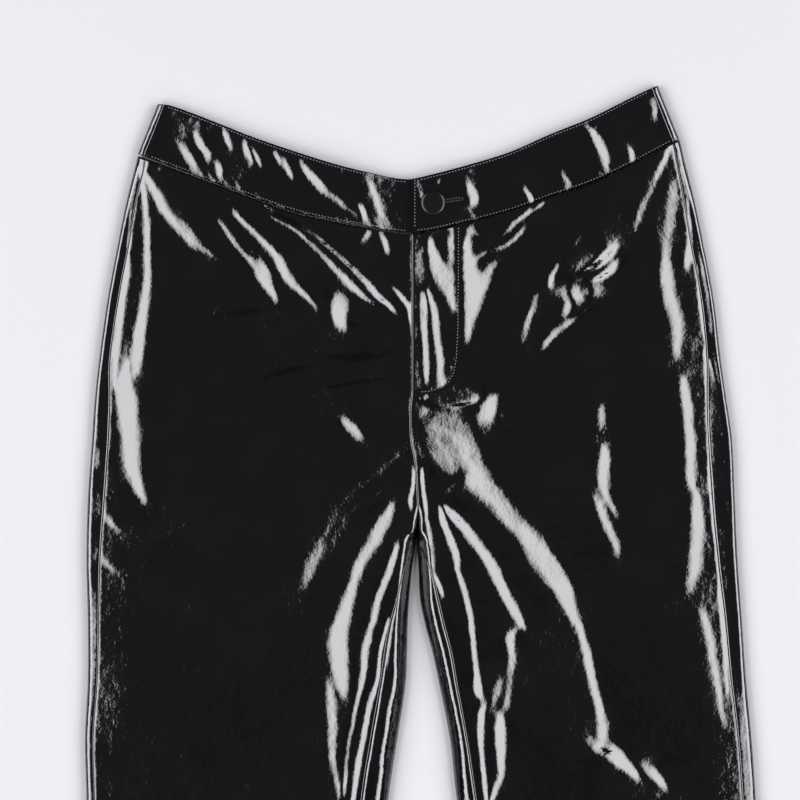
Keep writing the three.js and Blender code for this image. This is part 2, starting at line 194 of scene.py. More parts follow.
# The lay of the leather: how high it stands over the floor, with a soft roll beside each fold. A flank is
# one side of a drag line or a crease, where the leather slopes and shines.
FOLD_HEIGHT = 7.2
PANEL_HEIGHT = 6.4
SIDE_ROLL, SIDE_ROLL_INSIDE = 0.5, 34
LEG_ROLL, LEG_ROLL_INSIDE = 0.6, 24
RISES_RIGHT, RISES_LEFT = 1, -1
RISES_TO_WAIST, RISES_TO_HEM = 1, -1
FLANKS = [
    # higher side, slope, soft share at the foot and at the crest, places down or to the right: x, y, width
    # Right inner leg
    (RISES_LEFT, 0.32, 0.1, 0.1, [(6, 98, 8), (14, 94, 32), (22, 87, 46), (29, 79, 44), (34, 71, 36),
                                  (39, 63, 28), (44, 55, 18), (49, 48, 6)]),
    (RISES_LEFT, 0.28, 0.3, 0.1, [(30, 76, 3), (39, 64, 16), (50, 50, 24), (64, 35, 18), (76, 20, 17),
                                  (86, 6, 19), (96, -8, 18), (106, -22, 15), (113, -38, 9), (121, -56, 5)]),
    (RISES_LEFT, 0.25, 0.2, 0.1, [(19, 40, 1.5), (26, 47, 6), (34, 55, 8), (40, 62, 4)]),
    (RISES_LEFT, 0.38, 0.12, 0.12, [(20, 38, 1.5), (29, 29, 7), (40, 17, 7), (50, 3, 7), (58, -10, 8.5),
                                    (66, -26, 7), (74, -42, 5), (81, -53, 2)]),
    (RISES_RIGHT, 0.42, 0.12, 0.12, [(20, 37, 1.5), (22, 24, 3.5), (27, 12, 4.5), (31, -2, 4.5),
                                     (32, -12, 2.6), (37, -26, 3.2), (41, -42, 2.6), (44, -60, 2.2),
                                     (46, -84, 2.6), (47, -96, 6), (50, -104, 2)]),
    (RISES_LEFT, 0.3, 0.12, 0.12, [(7, 64, 1.5), (9, 42, 1.8), (11.5, 20, 2), (13.5, 0, 2.2),
                                   (15, -13, 1.6)]),
    (RISES_LEFT, 0.3, 0.12, 0.12, [(14, -12, 1.5), (18, -20, 2.2), (22, -30, 1.5)]),
    (RISES_LEFT, 0.34, 0.2, 0.1, [(75, -51, 2), (70.5, -58, 6), (71, -67, 3), (71, -80, 1.8),
                                  (69.5, -94, 2), (66, -112, 2.4)]),
    (RISES_LEFT, 0.36, 0.2, 0.2, [(63, -114, 3), (62.5, -126, 7), (62.5, -142, 5), (62.5, -156, 2.6),
                                  (59, -167, 2.6), (54, -180, 2.4)]),
    (RISES_RIGHT, 0.36, 0.15, 0.15, [(53, -105, 2), (49.5, -113, 5), (49, -124, 4), (49.5, -140, 2.8),
                                     (51, -160, 2.6), (54, -182, 2.4)]),
    (RISES_LEFT, 0.19, 0.3, 0.3, [(65, -86, 2), (60.5, -98, 5), (56, -110, 3)]),
    (RISES_LEFT, 0.26, 0.4, 0.2, [(120, -54, 4), (124, -68, 5), (128, -84, 5.5), (132, -100, 6.5),
                                  (135, -114, 7), (136, -126, 8), (134, -136, 6)]),
    (RISES_LEFT, 0.4, 0.25, 0.12, [(125, -134, 5), (134, -137, 13), (143, -141, 13), (151, -148, 9),
                                   (158, -154, 6), (164, -159, 2)]),
    (RISES_LEFT, 0.35, 0.4, 0.2, [(164, -150, 2), (171, -155, 8), (178, -161, 5), (182, -166, 2)]),
    (RISES_LEFT, 0.27, 0.35, 0.15, [(137, 79, 2), (137, 70, 7), (136, 60, 6.5), (136, 50, 5.5),
                                    (138, 42, 3.6), (143, 34, 3), (147, 26, 1.5)]),
    (RISES_LEFT, 0.24, 0.4, 0.2, [(128, 43, 2), (133, 36, 6.5), (136, 27, 4.5), (141, 16, 6.5), (145, 9, 5),
                                  (147, -2, 2)]),
    (RISES_LEFT, 0.25, 0.2, 0.2, [(136, 109, 1.6), (136, 100, 2.4), (135, 90, 1.6)]),
    # Left inner leg
    (RISES_RIGHT, 0.27, 0.1, 0.2, [(-12, 39, 3), (-17, 28, 11), (-24, 16, 13), (-31, 5, 10), (-38, -8, 8),
                                   (-43, -24, 8), (-48, -38, 10), (-51, -52, 14), (-52, -66, 16),
                                   (-52, -80, 16), (-51, -92, 12), (-48, -102, 4)]),
    (RISES_RIGHT, 0.22, 0.15, 0.35, [(-60, -88, 3), (-58, -106, 7), (-57, -124, 6), (-57, -145, 5),
                                     (-54, -162, 3.5), (-50, -180, 2)]),
    (RISES_LEFT, 0.28, 0.15, 0.15, [(-9, 10, 2.5), (-14, -4, 5.5), (-18, -16, 6.5), (-24, -31, 6),
                                    (-29, -49, 6), (-33, -65, 5.5), (-35, -80, 4.5), (-38, -98, 3.2),
                                    (-42, -121, 2.6), (-46, -140, 3), (-50, -178, 2.2)]),
    (RISES_RIGHT, 0.3, 0.12, 0.12, [(-16, -44, 1.6), (-22, -64, 2), (-25, -84, 2.8), (-29, -104, 3.6),
                                    (-33, -126, 3.6), (-38, -150, 3.4), (-43, -182, 2.6)]),
    (RISES_RIGHT, 0.28, 0.12, 0.12, [(1, 20, 1.5), (-4, 0, 1.8), (-10, -28, 1.8), (-15, -50, 1.6),
                                     (-20, -80, 1.5)]),
    (RISES_LEFT, 0.3, 0.12, 0.12, [(-5.5, -56, 1.6), (-6, -72, 2.6), (-7, -83, 4.6), (-7.5, -91, 1.8)]),
    (RISES_LEFT, 0.27, 0.3, 0.3, [(-12, -101, 4), (-14, -107, 8), (-15, -115, 6.5), (-16, -127, 6),
                                  (-18, -139, 6.5), (-22, -150, 3)]),
    (RISES_RIGHT, 0.14, 0.2, 0.2, [(-4, 78, 2), (-20, 63, 3), (-38, 49, 3), (-52, 32, 3), (-64, 12, 2)]),
    (RISES_RIGHT, 0.14, 0.2, 0.2, [(-12, 51, 2), (-38, 36, 3), (-50, 19, 3), (-58, 2, 2)]),
    (RISES_RIGHT, 0.155, 0.15, 0.4, [(-63, 12, 3), (-66, 2, 9), (-72, -8, 11), (-77, -18, 8),
                                     (-80, -26, 3)]),
    (RISES_RIGHT, 0.32, 0.12, 0.2, [(-51, 98, 2), (-46, 93, 7), (-40, 88, 7), (-36, 83, 2)]),
    (RISES_RIGHT, 0.3, 0.12, 0.12, [(1, 64, 1.6), (1, 50, 2.2), (-0.5, 41, 3), (0, 32, 1.8)]),
    # Soft creases across, which catch no light
    (RISES_TO_WAIST, 0.34, 0.3, 0.5, [(-60, 142, 1.6), (-47, 140.5, 3), (-33, 141, 3.2), (-14, 145, 1.8)]),
    (RISES_TO_WAIST, 0.38, 0.3, 0.6, [(-142, 168, 1.6), (-128, 172, 2.6), (-112, 174, 2.8),
                                      (-95, 175, 1.6)]),
    (RISES_TO_WAIST, 0.36, 0.4, 0.6, [(-104, 127, 1.6), (-94, 130, 2.8), (-84, 132, 2.8), (-73, 133, 1.6)]),
    (RISES_TO_HEM, 0.36, 0.4, 0.6, [(-64, 119, 1.6), (-50, 121, 3), (-34, 124, 3), (-18, 127, 1.6)]),
    (RISES_TO_WAIST, 0.4, 0.2, 0.5, [(3, 112, 2), (18, 106, 4), (36, 107, 4.4), (58, 114, 2)]),
    # Left hip and side
    (RISES_RIGHT, 0.25, 0.15, 0.15, [(-198, 280, 1.8), (-200.5, 250, 2.4), (-202, 228, 2.6),
                                     (-204, 205, 3.6), (-207, 185, 3.8), (-210, 158, 4), (-212, 135, 4),
                                     (-212, 118, 3)]),
    (RISES_RIGHT, 0.25, 0.15, 0.15, [(-196, 280, 1.8), (-191, 256, 2.6), (-189, 225, 3.4), (-190, 190, 4.4),
                                     (-193, 168, 6.5), (-196, 148, 8), (-197, 128, 7)]),
    (RISES_RIGHT, 0.24, 0.12, 0.12, [(-203, 140, 3), (-204, 126, 12), (-204, 112, 17), (-203, 98, 15),
                                     (-202, 84, 14), (-201, 66, 14), (-197, 52, 9), (-190, 36, 2)]),
    (RISES_RIGHT, 0.26, 0.12, 0.25, [(-193, 274, 2), (-184, 260, 4.5), (-178, 248, 6), (-171, 238, 9),
                                     (-162, 230, 13), (-154, 223, 11), (-148, 218, 6), (-139, 212, 3)]),
    (RISES_RIGHT, 0.17, 0.4, 0.4, [(-222, 28, 2), (-218, 25, 5), (-213, 21, 4), (-209, 18, 2)]),
    (RISES_RIGHT, 0.17, 0.4, 0.4, [(-222, -3, 2), (-219, -6, 5), (-215, -9, 4), (-211, -12, 2)]),
    (RISES_RIGHT, 0.3, 0.15, 0.15, [(-207, 268, 1.6), (-213, 225, 1.8), (-219, 174, 1.8), (-224, 115, 2),
                                    (-226.5, 60, 1.8)]),
    # Left front below the waistband
    (RISES_RIGHT, 0.3, 0.12, 0.15, [(-128, 246, 1.6), (-120, 237, 2.6), (-108, 225, 3.2), (-99, 215, 5.5),
                                    (-93, 206, 8.5), (-88, 198, 10), (-82, 191, 9), (-75, 184, 6),
                                    (-66, 174, 1.6)]),
    (RISES_RIGHT, 0.28, 0.12, 0.12, [(-138, 240, 1.4), (-126, 221, 1.6), (-116, 210, 4), (-110, 205, 13),
                                     (-105, 196, 11), (-101, 188, 7), (-96, 179, 1.6)]),
    (RISES_LEFT, 0.34, 0.12, 0.12, [(-107, 251, 1.6), (-99, 244, 2.6), (-88, 239, 2.6), (-76, 233, 3),
                                    (-64, 224, 3.4), (-52, 214, 4), (-42, 205, 3.6), (-34, 196, 4),
                                    (-24, 184, 5), (-11, 171, 1.8)]),
    (RISES_RIGHT, 0.32, 0.12, 0.12, [(-104, 243, 1.4), (-84, 232, 1.8), (-72, 221, 2.2), (-60, 210, 3.2),
                                     (-48, 198, 4.8), (-40, 189, 5.6), (-32, 182, 5), (-20, 176, 2)]),
    (RISES_RIGHT, 0.34, 0.15, 0.15, [(-51, 187, 4), (-51, 182, 14), (-51, 175, 15), (-51, 168, 11),
                                     (-48, 160, 2)]),
    (RISES_RIGHT, 0.32, 0.15, 0.15, [(-30, 234, 1.8), (-32, 228, 5), (-37, 223, 1.8)]),
    (RISES_LEFT, 0.3, 0.15, 0.15, [(-23, 230, 1.6), (-20, 225, 4), (-18, 218, 3), (-18, 213, 1.4)]),
    (RISES_LEFT, 0.3, 0.15, 0.3, [(-16, 193, 1.5), (-7, 182, 3), (-2, 174, 3.4), (-1, 165, 1.6)]),
    # Fly and right front below the waistband
    (RISES_RIGHT, 0.3, 0.12, 0.12, [(13, 226, 2), (15.5, 215, 9), (19, 204, 17), (23, 195, 18),
                                    (28, 184, 9), (31, 170, 1.6)]),
    (RISES_RIGHT, 0.25, 0.15, 0.12, [(30, 236, 2), (28.5, 224, 6), (28.5, 212, 6), (29, 200, 5),
                                     (30, 188, 2)]),
    (RISES_LEFT, 0.3, 0.15, 0.12, [(42, 233, 2), (40, 222, 6), (41, 208, 10), (43.5, 195, 16),
                                   (43.5, 182, 16), (41.5, 168, 9), (39, 151, 1.8)]),
    (RISES_LEFT, 0.24, 0.2, 0.15, [(62, 211, 3), (56, 204, 9), (51, 194, 9), (49, 183, 5), (47, 172, 2)]),
    (RISES_RIGHT, 0.28, 0.12, 0.12, [(6, 190, 3), (7.5, 182, 6.5), (7.5, 170, 7), (8.5, 152, 6),
                                     (10, 136, 5.5), (10.5, 120, 3)]),
    (RISES_LEFT, 0.28, 0.12, 0.12, [(10, 190, 2), (14.5, 178, 4.5), (17, 165, 6), (18.8, 150, 6),
                                    (20.5, 135, 5), (21, 119, 4)]),
    (RISES_LEFT, 0.35, 0.15, 0.15, [(42, 232, 1.6), (48, 228, 2), (55, 227, 2)]),
    (RISES_LEFT, 0.35, 0.15, 0.15, [(98, 254, 1.6), (86, 247, 2.4), (76, 240, 2.4), (66, 230, 2.2),
                                    (58, 227, 1.6)]),
    (RISES_LEFT, 0.3, 0.15, 0.3, [(82, 235, 1.2), (70, 224, 1.8), (60, 219, 3), (50, 215, 4),
                                  (44, 208, 2)]),
    (RISES_RIGHT, 0.7, 0.15, 0.15, [(61, 111, 6), (58, 108, 17), (54, 104, 22), (51, 101, 8)]),
    (RISES_LEFT, 0.3, 0.15, 0.15, [(12, 116, 1.6), (10, 112.5, 5), (8, 109, 2)]),
    (RISES_LEFT, 0.32, 0.12, 0.12, [(106, 209, 1.4), (102, 202, 2.6), (100, 196, 3), (99, 189, 1.6)]),
    (RISES_LEFT, 0.56, 0.15, 0.15, [(146, 221, 2), (139, 213, 7.5), (131, 207, 7.5), (119, 201, 2)]),
    (RISES_LEFT, 0.48, 0.15, 0.15, [(147, 211, 2), (144, 206, 7.5), (138, 201, 7), (130, 197, 3.6),
                                    (118, 195, 1.6)]),
    (RISES_RIGHT, 0.62, 0.15, 0.2, [(121, 195, 6), (121, 191, 18), (121, 186, 19), (122, 181, 6)]),
    (RISES_LEFT, 0.4, 0.4, 0.4, [(113, 181, 4), (111, 177, 9), (108, 172, 4)]),
    (RISES_LEFT, 0.28, 0.4, 0.4, [(131, 180, 1.5), (120, 172, 3.5), (110, 165, 5), (102, 158, 4.5),
                                  (92, 146, 2)]),
    (RISES_LEFT, 0.24, 0.3, 0.3, [(91, 187, 1.4), (84, 170, 2.6), (79, 151, 1.8)]),
    (RISES_LEFT, 0.26, 0.3, 0.3, [(121, 228, 1.4), (117, 223, 3), (113, 218, 1.4)]),
    # Right hip and side
    (RISES_LEFT, 0.13, 0.3, 0.3, [(187, 268, 3), (186, 255, 8), (183, 238, 9), (181, 222, 9),
                                  (180, 208, 6)]),
    (RISES_LEFT, 0.22, 0.3, 0.15, [(181, 222, 3), (181, 206, 9), (182, 192, 11), (186, 175, 10),
                                   (190, 160, 8), (190, 141, 2)]),
    (RISES_LEFT, 0.28, 0.15, 0.15, [(185, 298, 1.8), (180, 283, 2), (175, 271, 1.8), (169, 257, 1.6),
                                    (158, 231, 1.4)]),
    (RISES_LEFT, 0.26, 0.15, 0.15, [(194, 286, 1.8), (197.5, 268, 2.6), (198.5, 250, 3.2),
                                    (198.5, 230, 3.6), (198, 214, 6.5), (195, 204, 2)]),
    (RISES_LEFT, 0.24, 0.15, 0.15, [(203, 212, 1.6), (205, 190, 2.6), (207, 172, 3), (210, 154, 2)]),
    (RISES_LEFT, 0.24, 0.3, 0.12, [(193, 128, 3), (195.5, 112, 6.5), (197.5, 95, 7), (198.5, 70, 8),
                                   (199.5, 55, 7), (201, 46, 3)]),
    (RISES_LEFT, 0.22, 0.3, 0.12, [(203, 47, 3), (204, 25, 9), (203, 5, 10), (201, -12, 9), (198, -28, 3)]),
    (RISES_LEFT, 0.17, 0.35, 0.25, [(207, -38, 4), (211, -55, 6), (215, -75, 6), (219, -96, 4),
                                    (223, -120, 2)]),
    (RISES_LEFT, 0.26, 0.15, 0.15, [(212, 142, 1.6), (217, 122, 3), (221.5, 102, 3), (224.5, 80, 3.4),
                                    (226, 55, 3), (228, 20, 1.8)]),
    (RISES_LEFT, 0.24, 0.15, 0.15, [(209.5, 148, 1.6), (210.5, 118, 2), (211.5, 88, 2), (214, 50, 1.8),
                                    (217, 10, 1.8), (221, -40, 1.6), (226, -100, 1.5)]),
]
DRAG_LINES = [
    # middle x, y, half length, half width, direction in degrees, pitch, height
    (62, 58, 46, 20, -52, 2.4, 0.07),
    (100, -8, 52, 15, -56, 2.6, 0.06),
    (112, 190, 42, 32, 38, 3, 0.09),
    (84, 172, 54, 26, 58, 3.2, 0.08),
    (-110, 226, 52, 26, -50, 3, 0.07),
    (-60, 214, 54, 22, -40, 3, 0.06),
    (-42, -44, 84, 24, 76, 3.2, 0.07),
    (34, -40, 74, 24, -70, 3, 0.07),
    (-175, 254, 34, 20, -58, 2.6, 0.06),
    (170, 260, 38, 18, 62, 2.8, 0.08),
    (140, 26, 42, 15, -70, 2.2, 0.06),
    (150, -145, 28, 14, -28, 2.2, 0.06),
    (22, 108, 32, 13, 8, 3, 0.07),
    (28, 190, 46, 30, -82, 3, 0.06),
]


def mottle(x, y, size, seed, height):
    """Even random swell with bumps about `size` across and up to `height` high."""
    swell = np.random.default_rng(seed).uniform(-1, 1, (128, 128))
    u, v = x / size + 40.3, y / size + 50.7
    i, j = np.floor(u).astype(int), np.floor(v).astype(int)
    across, up = smooth(u - i), smooth(v - j)
    low = mix(swell[i % 128, j % 128], swell[(i + 1) % 128, j % 128], across)
    high = mix(swell[i % 128, (j + 1) % 128], swell[(i + 1) % 128, (j + 1) % 128], across)
    return height * mix(low, high, up)


def lengths_along(path):
    """How far along a path of straight pieces each of its points lies."""
    return np.concatenate([[0], np.cumsum(np.hypot(*np.diff(path, axis=0).T))])


def from_path(x, y, path_x, path_y, marks):
    """Distance to a path of straight pieces, and what holds at its nearest place: the mark, read between
    those of the path's points, the hand that x, y lies on as one walks the path, and the way it walks."""
    shape = np.shape(x)
    nearest, mark, hand = np.full(shape, 1e9), np.zeros(shape), np.zeros(shape)
    walk_x, walk_y = np.zeros(shape), np.zeros(shape)
    for i in range(len(marks) - 1):
        step_x, step_y = path_x[i + 1] - path_x[i], path_y[i + 1] - path_y[i]
        step = np.hypot(step_x, step_y)
        share = np.clip(((x - path_x[i]) * step_x + (y - path_y[i]) * step_y) / step**2, 0, 1)
        off_x, off_y = x - path_x[i] - share * step_x, y - path_y[i] - share * step_y
        away = np.hypot(off_x, off_y)
        closer = away < nearest
        nearest = np.where(closer, away, nearest)
        mark = np.where(closer, mix(marks[i], marks[i + 1], share), mark)
        hand = np.where(closer, np.sign(step_x * off_y - step_y * off_x), hand)
        walk_x = np.where(closer, step_x / step, walk_x)
        walk_y = np.where(closer, step_y / step, walk_y)
    return nearest, mark, hand, walk_x, walk_y


# The leather is taut between the flanks: each flank has the slope that its row of the table gives, and
# beside them the leather rises and falls as gently as it can. It is solved in rounds on a grid of 1 mm.
GRID_X, GRID_Y = np.arange(-288, 288), np.arange(-256, 384)
GRID_MARGIN = 20
FLANK_WIDTH_SHARE = 0.8
NARROWEST_FLANK = 1.7
NARROWEST_EDGE = 1.2
FLANK_END, HELD_AT_END = 3.5, 0.1
STEEPER_WHEN_NARROW = 0.9
STREAK_MIDDLE, STREAK_LOSS = 1.18, 0.45
SEARCH_SHARE, SEARCH_MARGIN = 1.2, 6
CURVE_STEPS = 5
CALM_SLOPE = 0.062
LEVEL_BELOW, LEVEL_ABOVE, LEVEL_BESIDE = -236, 345, 250
LOWEST, HIGHEST = -3, 10
GRID_SOFTNESS = 0.2
ROUNDS = 44


def flank_slopes(table):
    """Wanted slopes across and up on the grid, and how firmly each place is held to them, from 0 to 1."""
    shape = (len(GRID_Y), len(GRID_X))
    slope_x, slope_y, firm = np.zeros(shape), np.zeros(shape), np.zeros(shape)
    for high, slope, foot, crest, places in table:
        places = np.array(places, dtype=float)
        marks = lengths_along(places[:, :2])
        rows = np.column_stack([marks, places]).tolist()
        length = marks[-1]
        at = np.linspace(0, length, CURVE_STEPS * len(places))
        path_x, path_y = read_table(rows, 1, at), read_table(rows, 2, at)
        reach = SEARCH_SHARE * places[:, 2].max() + SEARCH_MARGIN
        across = (GRID_X > path_x.min() - reach) & (GRID_X < path_x.max() + reach)
        up = (GRID_Y > path_y.min() - reach) & (GRID_Y < path_y.max() + reach)
        x, y = np.meshgrid(GRID_X[across], GRID_Y[up])
        away, along, hand, walk_x, walk_y = from_path(x, y, path_x, path_y, at)
        wide = np.maximum(FLANK_WIDTH_SHARE * read_table(rows, 3, along), NARROWEST_FLANK)
        uneven = 1 + mottle(x, y, size=11, seed=21, height=0.14) + mottle(x, y, size=5, seed=22, height=0.06)
        climb = hand * high * away + wide * uneven / 2
        held = smooth(climb / np.maximum(foot * wide, NARROWEST_EDGE) + 1)
        held = held * smooth(1 - (climb - wide * uneven) / np.maximum(crest * wide, NARROWEST_EDGE))
        held = held * smooth(np.minimum(along, length - along) / FLANK_END + HELD_AT_END)
        share = climb / (wide * uneven)
        streaky = STREAK_MIDDLE - STREAK_LOSS * (2 * share - 1) ** 2
        streaky = streaky + mottle(along, 5 * climb, size=10, seed=24, height=0.3)
        steep = high * slope * (1 + STEEPER_WHEN_NARROW / wide) * streaky * held
        here = np.ix_(up, across)
        slope_x[here] -= steep * walk_y
        slope_y[here] += steep * walk_x
        firm[here] += held
    shared = np.maximum(firm, 1)
    return slope_x / shared, slope_y / shared, firm / shared


def taut(table):
    """Height of the leather on the grid. Each round finds the surface that comes nearest to the slopes, as a
    sum of waves, and then calms the slopes that are free."""
    want_x, want_y, firm = flank_slopes(table)
    x, y = np.meshgrid(GRID_X, GRID_Y)
    free = (1 - firm) * (y > LEVEL_BELOW) * (np.abs(x) < LEVEL_BESIDE) * (y < LEVEL_ABOVE)
    wave_x = 2 * np.pi * np.fft.rfftfreq(len(GRID_X))[None]
    wave_y = 2 * np.pi * np.fft.fftfreq(len(GRID_Y))[:, None]
    square = np.maximum(wave_x**2 + wave_y**2, 1e-9)
    slope_x, slope_y = np.zeros(x.shape), np.zeros(x.shape)
    for _ in range(ROUNDS):
        calm = free / np.maximum(np.hypot(slope_x, slope_y) / CALM_SLOPE, 1)
        spectrum = wave_x * np.fft.rfft2(want_x + calm * slope_x)
        spectrum = spectrum + wave_y * np.fft.rfft2(want_y + calm * slope_y)
        height = np.fft.irfft2(-1j * spectrum * np.exp(-GRID_SOFTNESS * square) / square)
        height = np.clip(height - height[:, :GRID_MARGIN].mean(), LOWEST, HIGHEST)
        slope_y, slope_x = np.gradient(height)
    return height


def read_grid(height, x, y):
    """Height between the places of the grid."""
    u = np.clip(x - GRID_X[0], 0, len(GRID_X) - 1.01)
    v = np.clip(y - GRID_Y[0], 0, len(GRID_Y) - 1.01)
    i, j = u.astype(int), v.astype(int)
    low = mix(height[j, i], height[j, i + 1], u - i)
    high = mix(height[j + 1, i], height[j + 1, i + 1], u - i)
    return mix(low, high, v - j)


front_swell = taut(FLANKS)


STREAK_STRETCH = 6
FIRST_STREAK_SEED = 30


def streaks(x, y, table):
    """Patches of fine drag lines, each several times longer than its pitch."""
    height = np.zeros(np.shape(x))
    for number, (x0, y0, length, width, direction, pitch, rise) in enumerate(table):
        turn = np.radians(direction)
        along = (x - x0) * np.cos(turn) + (y - y0) * np.sin(turn)
        across = (y - y0) * np.cos(turn) - (x - x0) * np.sin(turn)
        share = smooth(1 - np.hypot(along / length, across / width))
        seed = FIRST_STREAK_SEED + number
        height += share * mottle(
            STREAK_STRETCH * across, along, size=STREAK_STRETCH * pitch, seed=seed, height=rise
        )
    return height


def roll(inside, crest, height):
    """Soft roll beside a fold, which comes down slowly on its inner side."""
    rising, falling = smooth(inside / crest), smooth(1 - (inside - crest) / (4 * crest))
    return height * np.where(inside < crest, rising, falling)


def turn_in(inside):
    """Quarter circle by which a layer turns into a fold: 0 at the fold, 1 once it lies flat."""
    return np.sqrt(1 - (1 - np.clip(2 * inside / FOLD_HEIGHT, 0, 1)) ** 2)


def leather_swell(x, y):
    """The solved folds, a little wavering, with drag lines and the unevenness of the leather."""
    bent_x = x + mottle(x, y, size=24, seed=3, height=0.9) + mottle(x, y, size=8, seed=5, height=0.25)
    bent_y = y + mottle(x, y, size=24, seed=4, height=0.9) + mottle(x, y, size=8, seed=6, height=0.25)
    uneven = mottle(x, y, size=60, seed=8, height=0.5) + mottle(x, y, size=22, seed=9, height=0.12)
    uneven = uneven + mottle(x, y, size=7, seed=10, height=0.03)
    return read_grid(front_swell, bent_x, bent_y) + streaks(bent_x, bent_y, DRAG_LINES) + uneven


PUCKER_HEIGHT = 0.2
PUCKER_REACH = 5
PUCKER_SLANT, PUCKER_STRETCH = 0.6, 4


def puckers(along, away):
    """Short slanting puckers that a row of stitches pulls up on both sides of it."""
    fading = np.exp(-((away / PUCKER_REACH) ** 2))
    slanting = PUCKER_STRETCH * (along + PUCKER_SLANT * away)
    return fading * mottle(slanting, away, size=11, seed=60, height=PUCKER_HEIGHT)


# The fly's topstitching: straight down from the waistband and round in a hook to the centre front.
FLY_STITCHES = [
    # x, y
    (33.2, 240),
    (33, 200),
    (32.6, 160),
    (31.6, 140),
    (29.6, 130),
    (26, 123.6),
    (21, 119.6),
    (14, 117.4),
    (6, 116.4),
    (-0.4, 116),
]
CROTCH_BLEND = 30
TOP_EASE = 70
INNER_RISE, INNER_RISE_WIDTH = 0.8, 20
HEM_GAPE_FROM, HEM_GAPE_LENGTH = 140, 120
CENTRE_SETTLED = 22
SETTLES_WITHIN = 9
BAND_DIP, BAND_DIP_WIDTH = 0.5, 2.5
SEAM_DENT, SEAM_DENT_WIDTH = 0.16, 0.9
STITCH_DENT, STITCH_DENT_WIDTH = 0.45, 1.2
LAP_RISE, LAP_WIDTH = 0.9, 10
LAP_END_Y, LAP_END_SOFTNESS = 112, 8


def section(side, side_y, walk):
    """Points of a half's closed section. The walk goes over the top from the inner edge to the side fold,
    back underneath, and on over the top again where the leg has an inner fold."""
    side_x, in_x = side_fold_x(side, side_y), inner_fold_x(side, side_y)
    width = np.abs(side_x - in_x)
    on_leg = side_y <= CROTCH_Y
    on_top = np.where(on_leg, ((walk > 0) & (walk < width)) | (walk > 2 * width), walk < width)
    inside = np.where(walk < width, walk, 2 * width - walk)
    inside = np.where(on_leg, np.abs(inside), inside)
    from_side = width - inside
    x = in_x + side * inside
    y = row_y(x, side_x, side_y)
    leg_share = smooth((CROTCH_Y + CROTCH_BLEND - side_y) / CROTCH_BLEND)
    side_turn, inner_turn = turn_in(from_side), mix(1, turn_in(inside), leg_share)
    top = mix(FOLD_HEIGHT, PANEL_HEIGHT, smooth(from_side / TOP_EASE))
    top = top + roll(from_side, SIDE_ROLL_INSIDE, SIDE_ROLL)
    rise = roll(inside, LEG_ROLL_INSIDE, LEG_ROLL) + INNER_RISE * smooth(1 - inside / INNER_RISE_WIDTH)
    top = top + leg_share * rise
    top = top + HEM_GAPE * smooth((HEM_Y + HEM_GAPE_FROM - y) / HEM_GAPE_LENGTH)
    nearest_fold = np.minimum(from_side, mix(CENTRE_SETTLED, inside, leg_share))
    top = top + leather_swell(x, y) * smooth(nearest_fold / SETTLES_WITHIN)
    for seam in (from_side - side_seam_inset(side, side_y), inside - inseam_inset(side, side_y)):
        top = top - SEAM_DENT * np.exp(-((seam / SEAM_DENT_WIDTH) ** 2))
    below_band = read_table(WAIST, WAIST_SEAM, x) - y
    top = top + puckers(x, below_band - 1) - BAND_DIP * smooth(1 - below_band / BAND_DIP_WIDTH)
    if side == RIGHT:
        away, along = from_path(x, y, *np.transpose(FLY_STITCHES), lengths_along(FLY_STITCHES))[:2]
        top = top - STITCH_DENT * np.exp(-((away / STITCH_DENT_WIDTH) ** 2)) + puckers(along, away)
        top = top + LAP_RISE * smooth((y - LAP_END_Y) / LAP_END_SOFTNESS) * smooth(1 - x / LAP_WIDTH)
    middle, turn = FOLD_HEIGHT / 2, side_turn * inner_turn
    z = np.where(on_top, middle + (top - middle) * turn, middle * (1 - turn))
    return np.stack([x, y, z], axis=-1)


# The leather's finish: its coat is a near mirror, with very fine crinkles and a little haze from handling.
class Socket:
    """A node's output, so that shader maths reads as Python."""

    def __init__(self, finish, output):
        self.finish, self.output = finish, output

    def maths(self, operation, first, second):
        return self.finish.node("ShaderNodeMath", {"operation": operation}, {0: first, 1: second})

    def __add__(self, other):
        return self.maths("ADD", self, other)

    def __sub__(self, other):
        return self.maths("SUBTRACT", self, other)

    def __rsub__(self, other):
        return self.maths("SUBTRACT", other, self)

    def __mul__(self, other):
        return self.maths("MULTIPLY", self, other)

    __radd__, __rmul__ = __add__, __mul__


class Finish:
    """The nodes of a material or a lamp, added one call at a time."""

    def __init__(self, owner):
        self.owner = owner
        owner.use_nodes = True
        self.tree = owner.node_tree
        self.tree.nodes.clear()

    def node(self, kind, settings, inputs, output=0):
        made = self.tree.nodes.new(kind)
        for key, value in settings.items():
            setattr(made, key, value)
        for key, value in inputs.items():
            if isinstance(value, Socket):
                self.tree.links.new(value.output, made.inputs[key])
            else:
                made.inputs[key].default_value = value
        return Socket(self, made.outputs[output])

    def surface(self, **inputs):
        named = {key.replace("_", " "): value for key, value in inputs.items()}
        shader = self.node("ShaderNodeBsdfPrincipled", {}, named)
        output = self.tree.nodes.new("ShaderNodeOutputMaterial")
        self.tree.links.new(shader.output, output.inputs["Surface"])
        return self.owner


